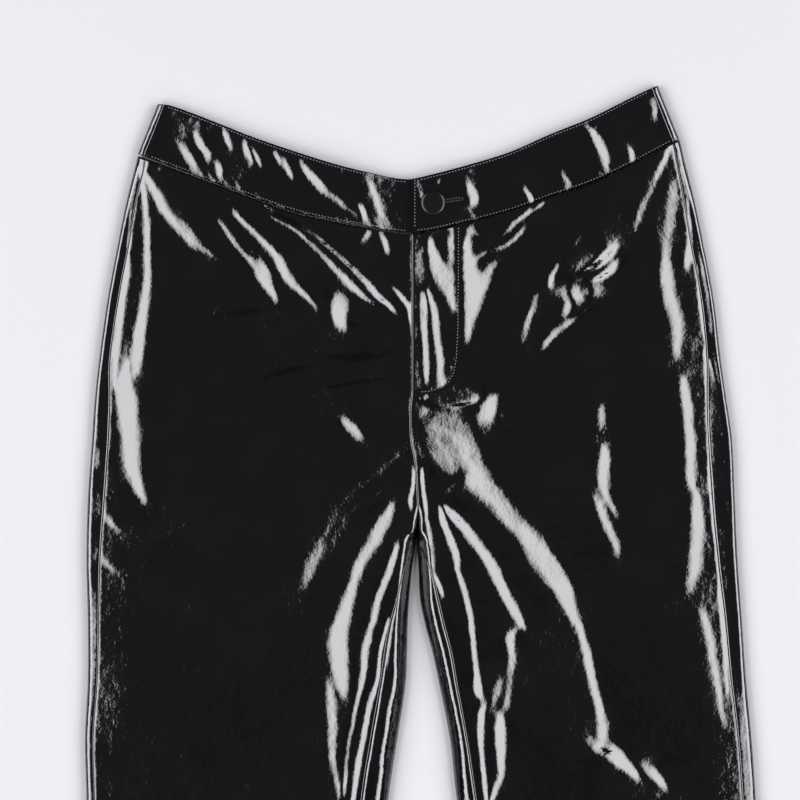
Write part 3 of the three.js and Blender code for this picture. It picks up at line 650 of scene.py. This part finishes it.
def make_patent_leather():
    finish = Finish(bpy.data.materials.new("patent_leather"))
    place = finish.node("ShaderNodeTexCoord", {}, {}, output="Object")
    noise = "ShaderNodeTexNoise"
    haze = finish.node(noise, {}, {"Vector": place, "Scale": 34, "Detail": 5, "Roughness": 0.6})
    crinkle = finish.node(noise, {}, {"Vector": place, "Scale": 120, "Detail": 3, "Roughness": 0.55})
    grain = finish.node(noise, {}, {"Vector": place, "Scale": 430, "Detail": 3, "Roughness": 0.6})
    soft = finish.node("ShaderNodeBump", {}, {"Strength": 1, "Distance": 0.0004, "Height": crinkle})
    fine = {"Strength": 1, "Distance": 0.00016, "Height": grain * haze, "Normal": soft}
    bump = finish.node("ShaderNodeBump", {}, fine)
    colours = {0: haze, 6: (0.0012, 0.0012, 0.0015, 1), 7: (0.003, 0.003, 0.0035, 1)}
    colour = finish.node("ShaderNodeMix", {"data_type": "RGBA"}, colours, output=2)
    return finish.surface(Base_Color=colour, Roughness=0.03 + 0.08 * haze, IOR=1.9, Normal=bump)


patent_leather = make_patent_leather()


def wall(name, outer, thickness, material, outward, closed=False):
    """Closed wall from a grid of points on its outer face, given in the pattern's millimetres."""
    rows, columns = outer.shape[:2]
    if closed:
        around = np.concatenate([outer[:, -1:], outer, outer[:, :1]], axis=1)
        across = around[:, 2:] - around[:, :-2]
    else:
        across = np.gradient(outer, axis=1)
    facing = np.cross(np.gradient(outer, axis=0), across) * (1 if outward else -1)
    facing /= np.maximum(np.linalg.norm(facing, axis=-1, keepdims=True), 1e-9)
    inner = outer - thickness * facing
    points = np.concatenate([outer.reshape(-1, 3), inner.reshape(-1, 3)])
    points[:, :2] += pattern_shift
    number = np.arange(rows * columns).reshape(rows, columns)
    if closed:
        number = np.concatenate([number, number[:, :1]], axis=1)
    back = number + rows * columns

    def quads(a, b, c, d):
        return np.stack([a, b, c, d], axis=-1).reshape(-1, 4)

    faces = [
        quads(number[:-1, :-1], number[1:, :-1], number[1:, 1:], number[:-1, 1:]),
        quads(back[:-1, :-1], back[:-1, 1:], back[1:, 1:], back[1:, :-1]),
        quads(number[0, :-1], number[0, 1:], back[0, 1:], back[0, :-1]),
        quads(number[-1, :-1], back[-1, :-1], back[-1, 1:], number[-1, 1:]),
    ]
    if not closed:
        faces.append(quads(number[:-1, 0], back[:-1, 0], back[1:, 0], number[1:, 0]))
        faces.append(quads(number[:-1, -1], number[1:, -1], back[1:, -1], back[:-1, -1]))
    faces = np.concatenate(faces)
    if not outward:
        faces = faces[:, ::-1]
    mesh = bpy.data.meshes.new(name)
    mesh.from_pydata((points / 1000).tolist(), [], faces.tolist())
    mesh.polygons.foreach_set("use_smooth", np.ones(len(faces), dtype=bool))
    mesh.materials.append(material)
    piece = bpy.data.objects.new(name, mesh)
    bpy.context.collection.objects.link(piece)
    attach(piece, "root")
    return piece


# Rows lie close together where the photograph shows the folds, and columns near the side and inner edges.
LEATHER_THICKNESS = 1.2
FINE_PITCH = 1.8
FINE_END_Y, PLAIN_START_Y = -190, -194
PLAIN_ROWS = 60
PANEL_END_Y = HEM_Y + HEM_DEPTH + SEAM_GAP
EDGE_PLACES = np.array([0, 0.5, 1.1, 1.9])
FRONT_COLUMNS = 122
CROWD_AT_EDGES, CROWD_BESIDE = 0.055, 0.035


def panel_rows(side):
    fine = np.arange(panel_top_y(side), FINE_END_Y, -FINE_PITCH)
    return np.concatenate([fine, np.linspace(PLAIN_START_Y, PANEL_END_Y, PLAIN_ROWS)])[:, None]


def front_columns(side, y):
    """The walk from the centre front or the inseam to the side seam."""
    width = np.abs(side_fold_x(side, y) - inner_fold_x(side, y))
    start = inseam_inset(side, y) + np.where(y > CROTCH_Y, 0, SEAM_GAP / 2)
    end = width - side_seam_inset(side, y) - SEAM_GAP / 2
    middle = np.linspace(0, 1, FRONT_COLUMNS)[None, 1:-1]
    crowd = CROWD_AT_EDGES * np.sin(2 * np.pi * middle)
    middle = middle - crowd - CROWD_BESIDE * np.sin(4 * np.pi * middle)
    inner_edge, side_edge = start + EDGE_PLACES, end - EDGE_PLACES[::-1]
    middle = mix(inner_edge[:, -1:], side_edge[:, :1], middle)
    return np.concatenate([inner_edge, middle, side_edge], axis=1)


for side, hand in ((LEFT, "left"), (RIGHT, "right")):
    side_y = panel_rows(side)
    outer = section(side, side_y, front_columns(side, side_y))
    front = wall(f"leather_front_{hand}", outer, LEATHER_THICKNESS, patent_leather, side == RIGHT)
    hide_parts(f"front_{hand}")


# Backs: one panel of the same leather for each leg. It lies flat on the floor and wraps round the side fold
# and the inner leg fold up to the seams, which lie a little way in on the front.
def round_fold(angle):
    """Walk past a fold for an angle round it, from -90 degrees on the floor to 90 on top."""
    return np.sign(angle) * FOLD_HEIGHT / 2 * (1 - np.cos(angle))


BODY_EDGE, UNDER_END = 13, 16
CLOSED_SEAM = 0.01


def back_columns(side, y):
    """The walk from the side seam round the side fold, underneath and, on a leg, round the inner fold."""
    width = np.abs(side_fold_x(side, y) - inner_fold_x(side, y))
    radius, quarter = FOLD_HEIGHT / 2, np.pi / 2
    seam_walk = width - side_seam_inset(side, y) + SEAM_GAP / 2
    strip = mix(seam_walk, width - radius, np.linspace(0, 1, 9)[None, :-1])
    side_fold = width - round_fold(np.linspace(quarter, -quarter, 15))[None]
    under = mix(width + radius, 2 * width - UNDER_END, np.linspace(0, 1, 13)[None, 1:])
    on_body = 2 * width - np.linspace(BODY_EDGE, 0, 20)[None]
    inset = inseam_inset(side, y)
    seam = inset - np.where(inset < 1, CLOSED_SEAM, SEAM_GAP / 2)
    short_turn = np.sign(seam) * np.arccos(1 - np.clip(np.abs(seam) / radius, 0, 1))
    last = np.where(seam < radius, short_turn, quarter)
    inner_fold = 2 * width + round_fold(mix(-quarter, last, np.linspace(0, 1, 13)[None]))
    past_fold = mix(round_fold(last), np.maximum(seam, round_fold(last)), np.linspace(0, 1, 8)[None, 1:])
    on_leg = np.concatenate([inner_fold, 2 * width + past_fold], axis=1)
    return np.concatenate([strip, side_fold, under, np.where(y > CROTCH_Y, on_body, on_leg)], axis=1)


for side, hand in ((LEFT, "left"), (RIGHT, "right")):
    side_y = panel_rows(side)
    outer = section(side, side_y, back_columns(side, side_y))
    back = wall(f"leather_back_{hand}", outer, LEATHER_THICKNESS, patent_leather, side == RIGHT)
    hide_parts(f"back_{hand}")


# Waistband: a contoured band of two layers of the leather. Its right half laps over the left one at the
# front, and its back part is one strip from side seam to side seam. It is sewn on along its lower edge and
# topstitched along both edges.
DOUBLE_THICKNESS = 2.2
BAND_TOP_SIDE_Y = 334
BAND_HEIGHT = 7.8
BAND_ROLL = 0.7
BAND_SIDE_SEAM = 5
UNDERLAP = 27
UNDERLAP_HEIGHT = 5.8
LAP_HEIGHT, LAP_SWELL = 8.9, 0.5
LAP_BLEND = 24
UNDERLAP_START, UNDERLAP_BLEND = 2, 36
SHARP_EDGE = 50
BAND_FLANKS = [
    # higher side, slope, soft share at the foot and at the crest, places down the flank: x, y, width
    (RISES_RIGHT, 0.26, 0.15, 0.15, [(-157, 303, 1.5), (-151, 293, 5), (-146, 286, 4.5), (-147, 280, 1.5)]),
    (RISES_RIGHT, 0.24, 0.15, 0.15, [(-167, 295, 1.5), (-160, 284, 6), (-153, 274, 1.8)]),
    (RISES_RIGHT, 0.26, 0.15, 0.15, [(-137, 304, 1.5), (-132, 296, 4.5), (-127, 290, 1.5)]),
    (RISES_RIGHT, 0.26, 0.15, 0.15, [(-141, 281, 1.5), (-138, 275, 3.6), (-136, 269, 1.5)]),
    (RISES_RIGHT, 0.28, 0.15, 0.15, [(-120, 298, 1.4), (-117, 288, 3.6), (-115, 277, 1.5)]),
    (RISES_LEFT, 0.28, 0.15, 0.15, [(-116, 294, 1.4), (-112, 284, 2.8), (-108, 274, 1.4)]),
    (RISES_RIGHT, 0.28, 0.15, 0.15, [(-98, 290, 1.4), (-96, 283, 2.2), (-94, 278, 1.4)]),
    (RISES_RIGHT, 0.28, 0.15, 0.15, [(-93, 285, 1.4), (-89, 276, 3.2), (-84, 268, 1.4)]),
    (RISES_RIGHT, 0.3, 0.12, 0.15, [(-80, 281, 1.8), (-73, 272, 5.5), (-67, 266, 6.2), (-59, 258, 5.5),
                                    (-51, 251, 4), (-40, 242, 1.4)]),
    (RISES_LEFT, 0.3, 0.15, 0.15, [(-38, 250, 1.4), (-35, 244, 4.6), (-33, 239, 2)]),
    (RISES_LEFT, 0.28, 0.15, 0.15, [(-30, 267, 1.2), (-25, 254, 1.2), (-21, 243, 2), (-16, 233, 2.4)]),
    (RISES_LEFT, 0.28, 0.15, 0.15, [(-9, 246, 1.6), (-7, 238, 3), (-6, 231, 1.6)]),
    (RISES_LEFT, 0.3, 0.12, 0.12, [(2, 270, 2), (5.5, 264, 5), (7.5, 259, 5), (7, 253, 2)]),
    (RISES_LEFT, 0.3, 0.15, 0.15, [(16, 262, 1.5), (12, 260, 3), (8, 258, 1.5)]),
    (RISES_LEFT, 0.3, 0.15, 0.15, [(20, 270, 1.4), (19.5, 266, 3), (19, 262, 1.4)]),
    (RISES_LEFT, 0.3, 0.12, 0.12, [(40, 267, 2), (42.5, 260, 6.5), (44, 254, 6.5), (41, 249, 2)]),
    (RISES_LEFT, 0.3, 0.15, 0.15, [(79, 262, 1.4), (83.5, 256, 5), (88, 251, 1.8)]),
    (RISES_LEFT, 0.28, 0.15, 0.15, [(106, 274, 1.4), (110, 268, 3.2), (113, 262, 1.6)]),
    (RISES_LEFT, 0.27, 0.15, 0.12, [(122, 307, 1.4), (130, 299, 5), (135, 292, 7), (138, 284, 5.5),
                                    (139, 272, 1.6)]),
    (RISES_LEFT, 0.25, 0.3, 0.3, [(154, 291, 1.4), (157, 286, 2.8), (159, 280, 1.4)]),
    (RISES_LEFT, 0.2, 0.3, 0.3, [(173, 328, 1.4), (174, 319, 3.5), (172, 311, 1.4)]),
]
band_swell = taut(BAND_FLANKS)


EDGE_TO_STITCHES = 1.8
BAND_STITCH_DENT, BAND_STITCH_DENT_WIDTH = 0.25, 0.7
EDGE_ROUNDING, EDGE_ROUNDING_WIDTH = 0.7, 1.2
band_rows = np.concatenate([[1, 0.99, 0.975], np.linspace(0.955, 0.045, 28), [0.025, 0.01, 0]])[:, None]


def band_width(side, share):
    """From the centre front to the side fold, at a share of the band's depth from its seam."""
    return np.abs(mix(side_fold_x(side, panel_top_y(side)), side_fold_x(side, BAND_TOP_SIDE_Y), share))


def band_section(side, share, walk):
    """Points of a half's section. The walk goes from the centre front to the side fold and back under."""
    width = band_width(side, share)
    inside = np.where(walk < width, walk, 2 * width - walk)
    x = side * inside
    lower, upper = read_table(WAIST, WAIST_SEAM, x), read_table(WAIST, TOP_EDGE, x)
    y = mix(lower + SEAM_GAP * (1 - share), upper, share)
    from_side, side_turn = width - inside, turn_in(width - inside)
    bent_x = x + mottle(x, y, size=12, seed=71, height=1.2)
    bent_y = y + mottle(x, y, size=12, seed=72, height=1.2)
    top = BAND_HEIGHT + roll(from_side, SIDE_ROLL_INSIDE, BAND_ROLL)
    top = top + read_grid(band_swell, bent_x, bent_y) * smooth(from_side / SETTLES_WITHIN)
    top = top + mottle(x, y, size=16, seed=73, height=0.14) + mottle(x, y, size=5, seed=74, height=0.03)
    for edge in (y - lower, upper - y):
        off = edge - EDGE_TO_STITCHES
        top = top + puckers(x, off) - BAND_STITCH_DENT * np.exp(-((off / BAND_STITCH_DENT_WIDTH) ** 2))
        top = top - EDGE_ROUNDING * smooth(1 - edge / EDGE_ROUNDING_WIDTH) ** 2
    if side == RIGHT:
        lap = LAP_HEIGHT + LAP_SWELL * (top - BAND_HEIGHT)
        top = mix(lap, top, smooth((x - UNDERLAP) / LAP_BLEND))
    else:
        top = mix(UNDERLAP_HEIGHT, top, smooth((-x - UNDERLAP_START) / UNDERLAP_BLEND))
    middle = FOLD_HEIGHT / 2
    z = np.where(walk > width, middle * (1 - side_turn), middle + (top - middle) * side_turn)
    return np.stack([x, y, z], axis=-1)


for side, hand in ((LEFT, "left"), (RIGHT, "right")):
    start = -UNDERLAP if side == LEFT else SEAM_GAP / 2
    end = band_width(side, band_rows) - BAND_SIDE_SEAM - SEAM_GAP / 2
    outer = band_section(side, band_rows, mix(start, end, np.linspace(0, 1, 150)[None]))
    band = wall(f"leather_band_{hand}", outer, DOUBLE_THICKNESS, patent_leather, side == RIGHT)
    band.data.set_sharp_from_angle(angle=np.radians(SHARP_EDGE))
    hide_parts(f"waistband_front_{hand}")

half_bands = []
for side in (LEFT, RIGHT):
    width, radius = band_width(side, band_rows), FOLD_HEIGHT / 2
    seam_walk = width - BAND_SIDE_SEAM + SEAM_GAP / 2
    strip = mix(seam_walk, width - radius, np.linspace(0, 1, 3)[None, :-1])
    fold = width - round_fold(np.linspace(np.pi / 2, -np.pi / 2, 15))[None]
    rest = mix(width + radius, 2 * width, np.linspace(0, 1, 60)[None, 1:])
    half_bands.append(band_section(side, band_rows, np.concatenate([strip, fold, rest], axis=1)))
outer = np.concatenate([half_bands[0], half_bands[1][:, -2::-1]], axis=1)
band = wall("leather_band_back", outer, DOUBLE_THICKNESS, patent_leather, False)
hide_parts("waistband_back")


# Hems: the end of each leg is turned up inside, so it has two layers of the leather, and stitched round.
# The hems gape a little.
for side, hand in ((LEFT, "left"), (RIGHT, "right")):
    rows = np.linspace(HEM_Y + HEM_DEPTH, HEM_Y, 12)[:, None]
    width = np.abs(side_fold_x(side, rows) - inner_fold_x(side, rows))
    radius, quarter = FOLD_HEIGHT / 2, np.pi / 2
    walks = [
        round_fold(np.linspace(0, quarter, 9)[None, :-1]) + 0 * width,
        mix(radius, width - radius, np.linspace(0, 1, 70)[None]),
        width - round_fold(np.linspace(quarter, -quarter, 17)[None, 1:-1]),
        mix(width + radius, 2 * width - radius, np.linspace(0, 1, 40)[None]),
        2 * width + round_fold(np.linspace(-quarter, 0, 9)[None, 1:-1]),
    ]
    outer = section(side, rows, np.concatenate(walks, axis=1))
    hem = wall(f"leather_hem_{hand}", outer, DOUBLE_THICKNESS, patent_leather, side == RIGHT, closed=True)
    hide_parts(f"hem_{hand}")


# Fly underlap: a strip of the same leather behind the zip, close under the two fronts. It is sewn to the
# left one, and nothing of it shows.
FLY_LENGTH = 119
FLY_UNDERLAP_HEIGHT = 3.4
FLY_UNDERLAP_LEFT, FLY_UNDERLAP_RIGHT = -5, 30
across = np.linspace(FLY_UNDERLAP_LEFT, FLY_UNDERLAP_RIGHT, 8)[None, :] * np.ones((30, 1))
down = np.linspace(1, FLY_LENGTH, 30)[:, None]
flat_height = np.full(across.shape, FLY_UNDERLAP_HEIGHT)
outer = np.stack([across, read_table(WAIST, WAIST_SEAM, across) - down, flat_height], axis=-1)
underlap = wall("leather_fly_underlap", outer, LEATHER_THICKNESS, patent_leather, True)
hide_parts("fly_underlap")


# Topstitching: rows of black thread along both edges of the waistband, down its lap, round the fly and
# round the hems. Each stitch is a short rounded stroke in the dent that it has pulled into the leather. The
# thread's colour is a painted highlight: a mid grey instead of black, for the glints that its stitches
# catch.
STITCH_PITCH = 2.3
STITCH_LENGTH = 1.3
THREAD_RADIUS = 0.3
RINGS = [
    # share of the stitch's length, share of the thread's radius
    (0.06, 0.5),
    (0.25, 0.95),
    (0.5, 1),
    (0.75, 0.95),
    (0.94, 0.5),
]
THREAD_SIDES = 6
THREAD_HUMP, THREAD_SINK = 1.4, 0.9
SEARCH_FROM = 60
# Painted highlight: the black thread's base colour is raised to a mid grey to stand for the glints on its
# stitches.
glint_painted_thread_finish = Finish(bpy.data.materials.new("thread_painted_glint_grey"))
thread = glint_painted_thread_finish.surface(Base_Color=(0.13, 0.13, 0.135, 1), Roughness=0.3)


def skin_of(name):
    """Search tree over the surface of a piece."""
    mesh = bpy.data.objects[name].data
    points = [vertex.co[:] for vertex in mesh.vertices]
    faces = [list(face.vertices) for face in mesh.polygons]
    return BVHTree.FromPolygons(points, faces)


def stitches(name, skin, strokes, material=thread):
    """Lays one rounded stroke of thread on a skin from each start to its end, all joined in one mesh. A
    stroke that would pass the edge of the skin is left out."""
    points, faces = [], []
    for start, end in strokes:
        start, end = np.array(start, dtype=float), np.array(end, dtype=float)
        direction = (end - start) / np.linalg.norm(end - start)
        sideways = np.array([-direction[1], direction[0], 0])
        places = [(mix(start, end, along) + pattern_shift) / 1000 for along, thick in RINGS]
        hits = [skin.ray_cast((*place, SEARCH_FROM / 1000), (0, 0, -1))[0] for place in places]
        if None in hits:
            continue
        first = len(points)
        for hit, (along, thick) in zip(hits, RINGS):
            middle = np.array(hit) * 1000 + [0, 0, THREAD_RADIUS * (THREAD_HUMP * thick - THREAD_SINK)]
            for angle in np.arange(THREAD_SIDES) * 2 * np.pi / THREAD_SIDES:
                off = sideways * np.cos(angle) + [0, 0, np.sin(angle)]
                points.append(middle + THREAD_RADIUS * thick * off)
        for ring in range(len(RINGS) - 1):
            near = first + ring * THREAD_SIDES
            for i in range(THREAD_SIDES):
                a, b = near + i, near + (i + 1) % THREAD_SIDES
                faces.append([b, a, a + THREAD_SIDES, b + THREAD_SIDES])
        faces.append([first + i for i in range(THREAD_SIDES)])
        last = first + (len(RINGS) - 1) * THREAD_SIDES
        faces.append([last + i for i in reversed(range(THREAD_SIDES))])
    mesh = bpy.data.meshes.new(name)
    mesh.from_pydata((np.array(points) / 1000).tolist(), [], faces)
    mesh.polygons.foreach_set("use_smooth", np.ones(len(faces), dtype=bool))
    mesh.materials.append(material)
    piece = bpy.data.objects.new(name, mesh)
    bpy.context.collection.objects.link(piece)
    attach(piece, "root")


def strokes_along(path):
    """Evenly spaced stitches along a path of straight pieces."""
    path = np.array(path, dtype=float)
    walked = lengths_along(path)
    middles = np.arange(STITCH_PITCH, walked[-1] - STITCH_PITCH / 2, STITCH_PITCH)
    half = STITCH_LENGTH / 2
    starts = [np.interp(middles - half, walked, path[:, axis]) for axis in (0, 1)]
    ends = [np.interp(middles + half, walked, path[:, axis]) for axis in (0, 1)]
    return list(zip(zip(*starts), zip(*ends)))


BAND_ROW_START = {LEFT: -3, RIGHT: 2.2}
BAND_ROW_SHORT = 7
LAP_STITCHES = [(2, 233), (2, 269)]
HEM_ROW_SHORT = 6
HEM_ROW_Y = HEM_Y + HEM_DEPTH - EDGE_TO_STITCHES
HEM_ROW_ENDS_Y = HEM_Y + 18


def band_row(side, edge, inside):
    """A row of stitches along an edge of the waistband, from its front end to the side seam."""
    fold_y = BAND_TOP_SIDE_Y if edge == TOP_EDGE else WAIST_SEAM_SIDE_Y
    x = np.linspace(BAND_ROW_START[side], side_fold_x(side, fold_y) - side * BAND_ROW_SHORT, 60)
    return strokes_along(np.column_stack([x, read_table(WAIST, edge, x) + inside]))


for side, hand in ((LEFT, "left"), (RIGHT, "right")):
    rows = band_row(side, TOP_EDGE, -EDGE_TO_STITCHES) + band_row(side, WAIST_SEAM, EDGE_TO_STITCHES)
    if side == RIGHT:
        rows += strokes_along(LAP_STITCHES)
    stitches(f"band_stitches_{hand}", skin_of(f"leather_band_{hand}"), rows)
stitches("fly_stitches", skin_of("leather_front_right"), strokes_along(FLY_STITCHES[:-1]))
for side, hand in ((LEFT, "left"), (RIGHT, "right")):
    start = inner_fold_x(side, HEM_ROW_ENDS_Y) + side * HEM_ROW_SHORT
    end = side_fold_x(side, HEM_ROW_ENDS_Y) - side * HEM_ROW_SHORT
    rows = strokes_along([(start, HEM_ROW_Y), (end, HEM_ROW_Y)])
    stitches(f"hem_stitches_{hand}", skin_of(f"leather_hem_{hand}"), rows)


# Buttonhole: a slit from under the button towards the side. Close stitches of darker black thread lie
# across both its edges, and one bar of thread closes its end.
BUTTONHOLE_START, BUTTONHOLE_END = np.array([22.6, 252.9]), np.array([35.4, 254.4])
BUTTONHOLE_LENGTH = 12.9
BUTTONHOLE_PITCH = 1.3
SLIT_EDGE, STITCH_END = 0.25, 1.6
BAR_OFF, BAR_HALF = 0.6, 1.5
dark_finish = Finish(bpy.data.materials.new("dark_thread"))
dark_thread = dark_finish.surface(Base_Color=(0.02, 0.02, 0.022, 1), Roughness=0.35)
slit_across = np.array([-0.12, 1])
rows = []
for share in np.arange(0, 1.001, BUTTONHOLE_PITCH / BUTTONHOLE_LENGTH):
    place = mix(BUTTONHOLE_START, BUTTONHOLE_END, share)
    for away in (slit_across, -slit_across):
        rows.append((place + SLIT_EDGE * away, place + STITCH_END * away))
rows.append((BUTTONHOLE_END + [BAR_OFF, BAR_HALF], BUTTONHOLE_END + [BAR_OFF, -BAR_HALF]))
stitches("buttonhole_stitches", skin_of("leather_band_right"), rows, dark_thread)


# Button: a round black cap of lacquered metal or plastic, with a low dome and a rounded edge. It is riveted
# through the underlap of the left half and stands in the buttonhole, buttoned up.
BUTTON_RADIUS = 8.5
CAP_SINK = 0.4
BUTTON_PROFILE = [
    # share of the radius, height over the leather
    (0, 3.1),
    (0.3, 3.07),
    (0.55, 3),
    (0.75, 2.9),
    (0.88, 2.8),
    (0.95, 2.6),
    (0.985, 2.3),
    (1, 1.9),
    (0.985, 1.4),
    (0.92, 0.9),
    (0.7, 0.4),
    (0, 0.4),
]
BUTTON_SIDES = 72
cap_finish = Finish(bpy.data.materials.new("button_cap"))
cap_colour = (0.0035, 0.0045, 0.0035, 1)
cap = cap_finish.surface(Base_Color=cap_colour, Roughness=0.16, IOR=1.45)
angles = np.arange(BUTTON_SIDES) * 2 * np.pi / BUTTON_SIDES
centre = np.array([*(BUTTON_PLACE + pattern_shift), 1000 * button_low[2] - CAP_SINK])
points = [centre + [0, 0, BUTTON_PROFILE[0][1]]]
for share, height in BUTTON_PROFILE[1:-1]:
    radius = share * BUTTON_RADIUS
    points += [centre + [radius * np.cos(angle), radius * np.sin(angle), height] for angle in angles]
points.append(centre + [0, 0, BUTTON_PROFILE[-1][1]])
faces = []
for i in range(BUTTON_SIDES):
    after = (i + 1) % BUTTON_SIDES
    faces.append([0, 1 + i, 1 + after])
    for ring in range(len(BUTTON_PROFILE) - 3):
        near, far = 1 + ring * BUTTON_SIDES, 1 + (ring + 1) * BUTTON_SIDES
        faces.append([near + i, far + i, far + after, near + after])
    last = 1 + (len(BUTTON_PROFILE) - 3) * BUTTON_SIDES
    faces.append([last + i, len(points) - 1, last + after])
button_mesh = bpy.data.meshes.new("cap_button")
button_mesh.from_pydata((np.array(points) / 1000).tolist(), [], faces)
button_mesh.polygons.foreach_set("use_smooth", np.ones(len(faces), dtype=bool))
button_mesh.materials.append(cap)
cap_button = bpy.data.objects.new("cap_button", button_mesh)
bpy.context.collection.objects.link(cap_button)
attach(cap_button, "root")
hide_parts("button")


# Floor: the plain pale surface that the trousers lie on, a hair under them. These two lengths are metres.
FLOOR_HALF = 4
FLOOR_DROP = 0.0004
corners = [(x * FLOOR_HALF, y * FLOOR_HALF, 0) for x, y in ((-1, -1), (1, -1), (1, 1), (-1, 1))]
floor_mesh = bpy.data.meshes.new("floor")
floor_mesh.from_pydata(corners, [], [(0, 1, 2, 3)])
floor = bpy.data.objects.new("floor", floor_mesh)
bpy.context.collection.objects.link(floor)
floor_finish = Finish(bpy.data.materials.new("pale_floor"))
floor_mesh.materials.append(floor_finish.surface(Base_Color=(0.37, 0.37, 0.38, 1), Roughness=0.9))
floor.location.z = -FLOOR_DROP


# Light: a long soft box on each side, well off the vertical, so that flat leather mirrors the dim ceiling
# and only slopes shine. Each box fades along its edge towards the camera. A weak low strip beyond the hems
# catches creases that run across, and the ceiling has a dark patch. Lengths here are metres.
BOX_SIZE, BOX_ENERGY = (2.2, 3.8), 166
BOX_OFF, BOX_UP = 1.75, 2.0
BOX_DIMMEST = 0.3
STRIP_SIZE, STRIP_ENERGY = (2.4, 0.3), 14
STRIP_OFF, STRIP_UP = 2.5, 1.5
CEILING_SIZE, CEILING_ENERGY = (3.6, 3.6), 1.3
CEILING_UP = 2.9
CEILING_DARKENING = 0.85
PATCH_FROM, PATCH_TO, PATCH_DEPTH = (0.415, 0.435), (0.565, 0.585), (0.35, 0.38)
LIGHT_MIDDLE_Y, BOX_MIDDLE_Y = 0.28, 0.2


def lamp_share(lamp, part, low, high):
    """0 before one share of the lamp's width or depth and 1 after the other."""
    place = lamp.node("ShaderNodeNewGeometry", {}, {}, output="Parametric")
    split = lamp.node("ShaderNodeSeparateXYZ", {}, {"Vector": place}, output=part)
    settings = {"interpolation_type": "SMOOTHSTEP"}
    return lamp.node("ShaderNodeMapRange", settings, {"Value": split, "From Min": low, "From Max": high})


def dark_patch(lamp):
    """1 over a patch in the middle of the lamp's width and 0 beside it."""
    over = lamp_share(lamp, "X", *PATCH_FROM) - lamp_share(lamp, "X", *PATCH_TO)
    return over * (1 - lamp_share(lamp, "Y", *PATCH_DEPTH))


def hang_lamp(name, size, energy, location, turn, colour, strength):
    """Hangs a flat lamp. Its strength is a function of the lamp that gives the brightness over its face."""
    light = bpy.data.lights.new(name, "AREA")
    light.shape = "RECTANGLE"
    light.size, light.size_y = size
    light.energy = energy
    light.color = colour
    lamp = Finish(light)
    emission = lamp.node("ShaderNodeEmission", {}, {"Strength": strength(lamp)})
    output = lamp.tree.nodes.new("ShaderNodeOutputLight")
    lamp.tree.links.new(emission.output, output.inputs["Surface"])
    hung = bpy.data.objects.new(name, light)
    hung.location = location
    hung.rotation_euler = turn
    bpy.context.collection.objects.link(hung)


for side, name in ((LEFT, "left_soft_box"), (RIGHT, "right_soft_box")):
    dim_from, bright_from = (1.02, 0.62) if side == LEFT else (-0.02, 0.38)
    hang_lamp(
        name,
        size=BOX_SIZE,
        energy=BOX_ENERGY,
        location=(side * BOX_OFF, BOX_MIDDLE_Y, BOX_UP),
        turn=(0, side * np.arctan2(BOX_OFF, BOX_UP), 0),
        colour=(1, 1, 1.03),
        strength=lambda lamp: BOX_DIMMEST + (1 - BOX_DIMMEST) * lamp_share(lamp, "X", dim_from, bright_from),
    )
hang_lamp(
    "low_strip",
    size=STRIP_SIZE,
    energy=STRIP_ENERGY,
    location=(0, LIGHT_MIDDLE_Y - STRIP_OFF, STRIP_UP),
    turn=(np.arctan2(STRIP_OFF, STRIP_UP), 0, 0),
    colour=(1, 1, 1.02),
    strength=lambda lamp: 1,
)
hang_lamp(
    "dim_ceiling",
    size=CEILING_SIZE,
    energy=CEILING_ENERGY,
    location=(0, LIGHT_MIDDLE_Y, CEILING_UP),
    turn=(0, 0, 0),
    colour=(1, 1, 1),
    strength=lambda lamp: 1 - CEILING_DARKENING * dark_patch(lamp),
)

world = bpy.data.worlds.new("dark_room")
world.use_nodes = True
world.node_tree.nodes["Background"].inputs["Color"].default_value = (0.02, 0.02, 0.022, 1)
bpy.context.scene.world = world
bpy.context.scene.view_settings.view_transform = "Standard"


# Camera: straight above, framed from just over the waist to mid-thigh as in the photograph. It looks along
# a long lens, and the view's width is that at the height of the leather.
VIEW_CENTRE = np.array([-8.6, 110.7])
VIEW_WIDTH = 571.4
VIEW_HEIGHT = 8
LENS, SENSOR = 150, 36
camera_data = bpy.data.cameras.new("camera")
camera_data.lens, camera_data.sensor_width = LENS, SENSOR
camera = bpy.data.objects.new("camera", camera_data)
centre = (VIEW_CENTRE + pattern_shift) / 1000
camera.location = (centre[0], centre[1], (VIEW_WIDTH * LENS / SENSOR + VIEW_HEIGHT) / 1000)
bpy.context.collection.objects.link(camera)
bpy.context.scene.camera = camera
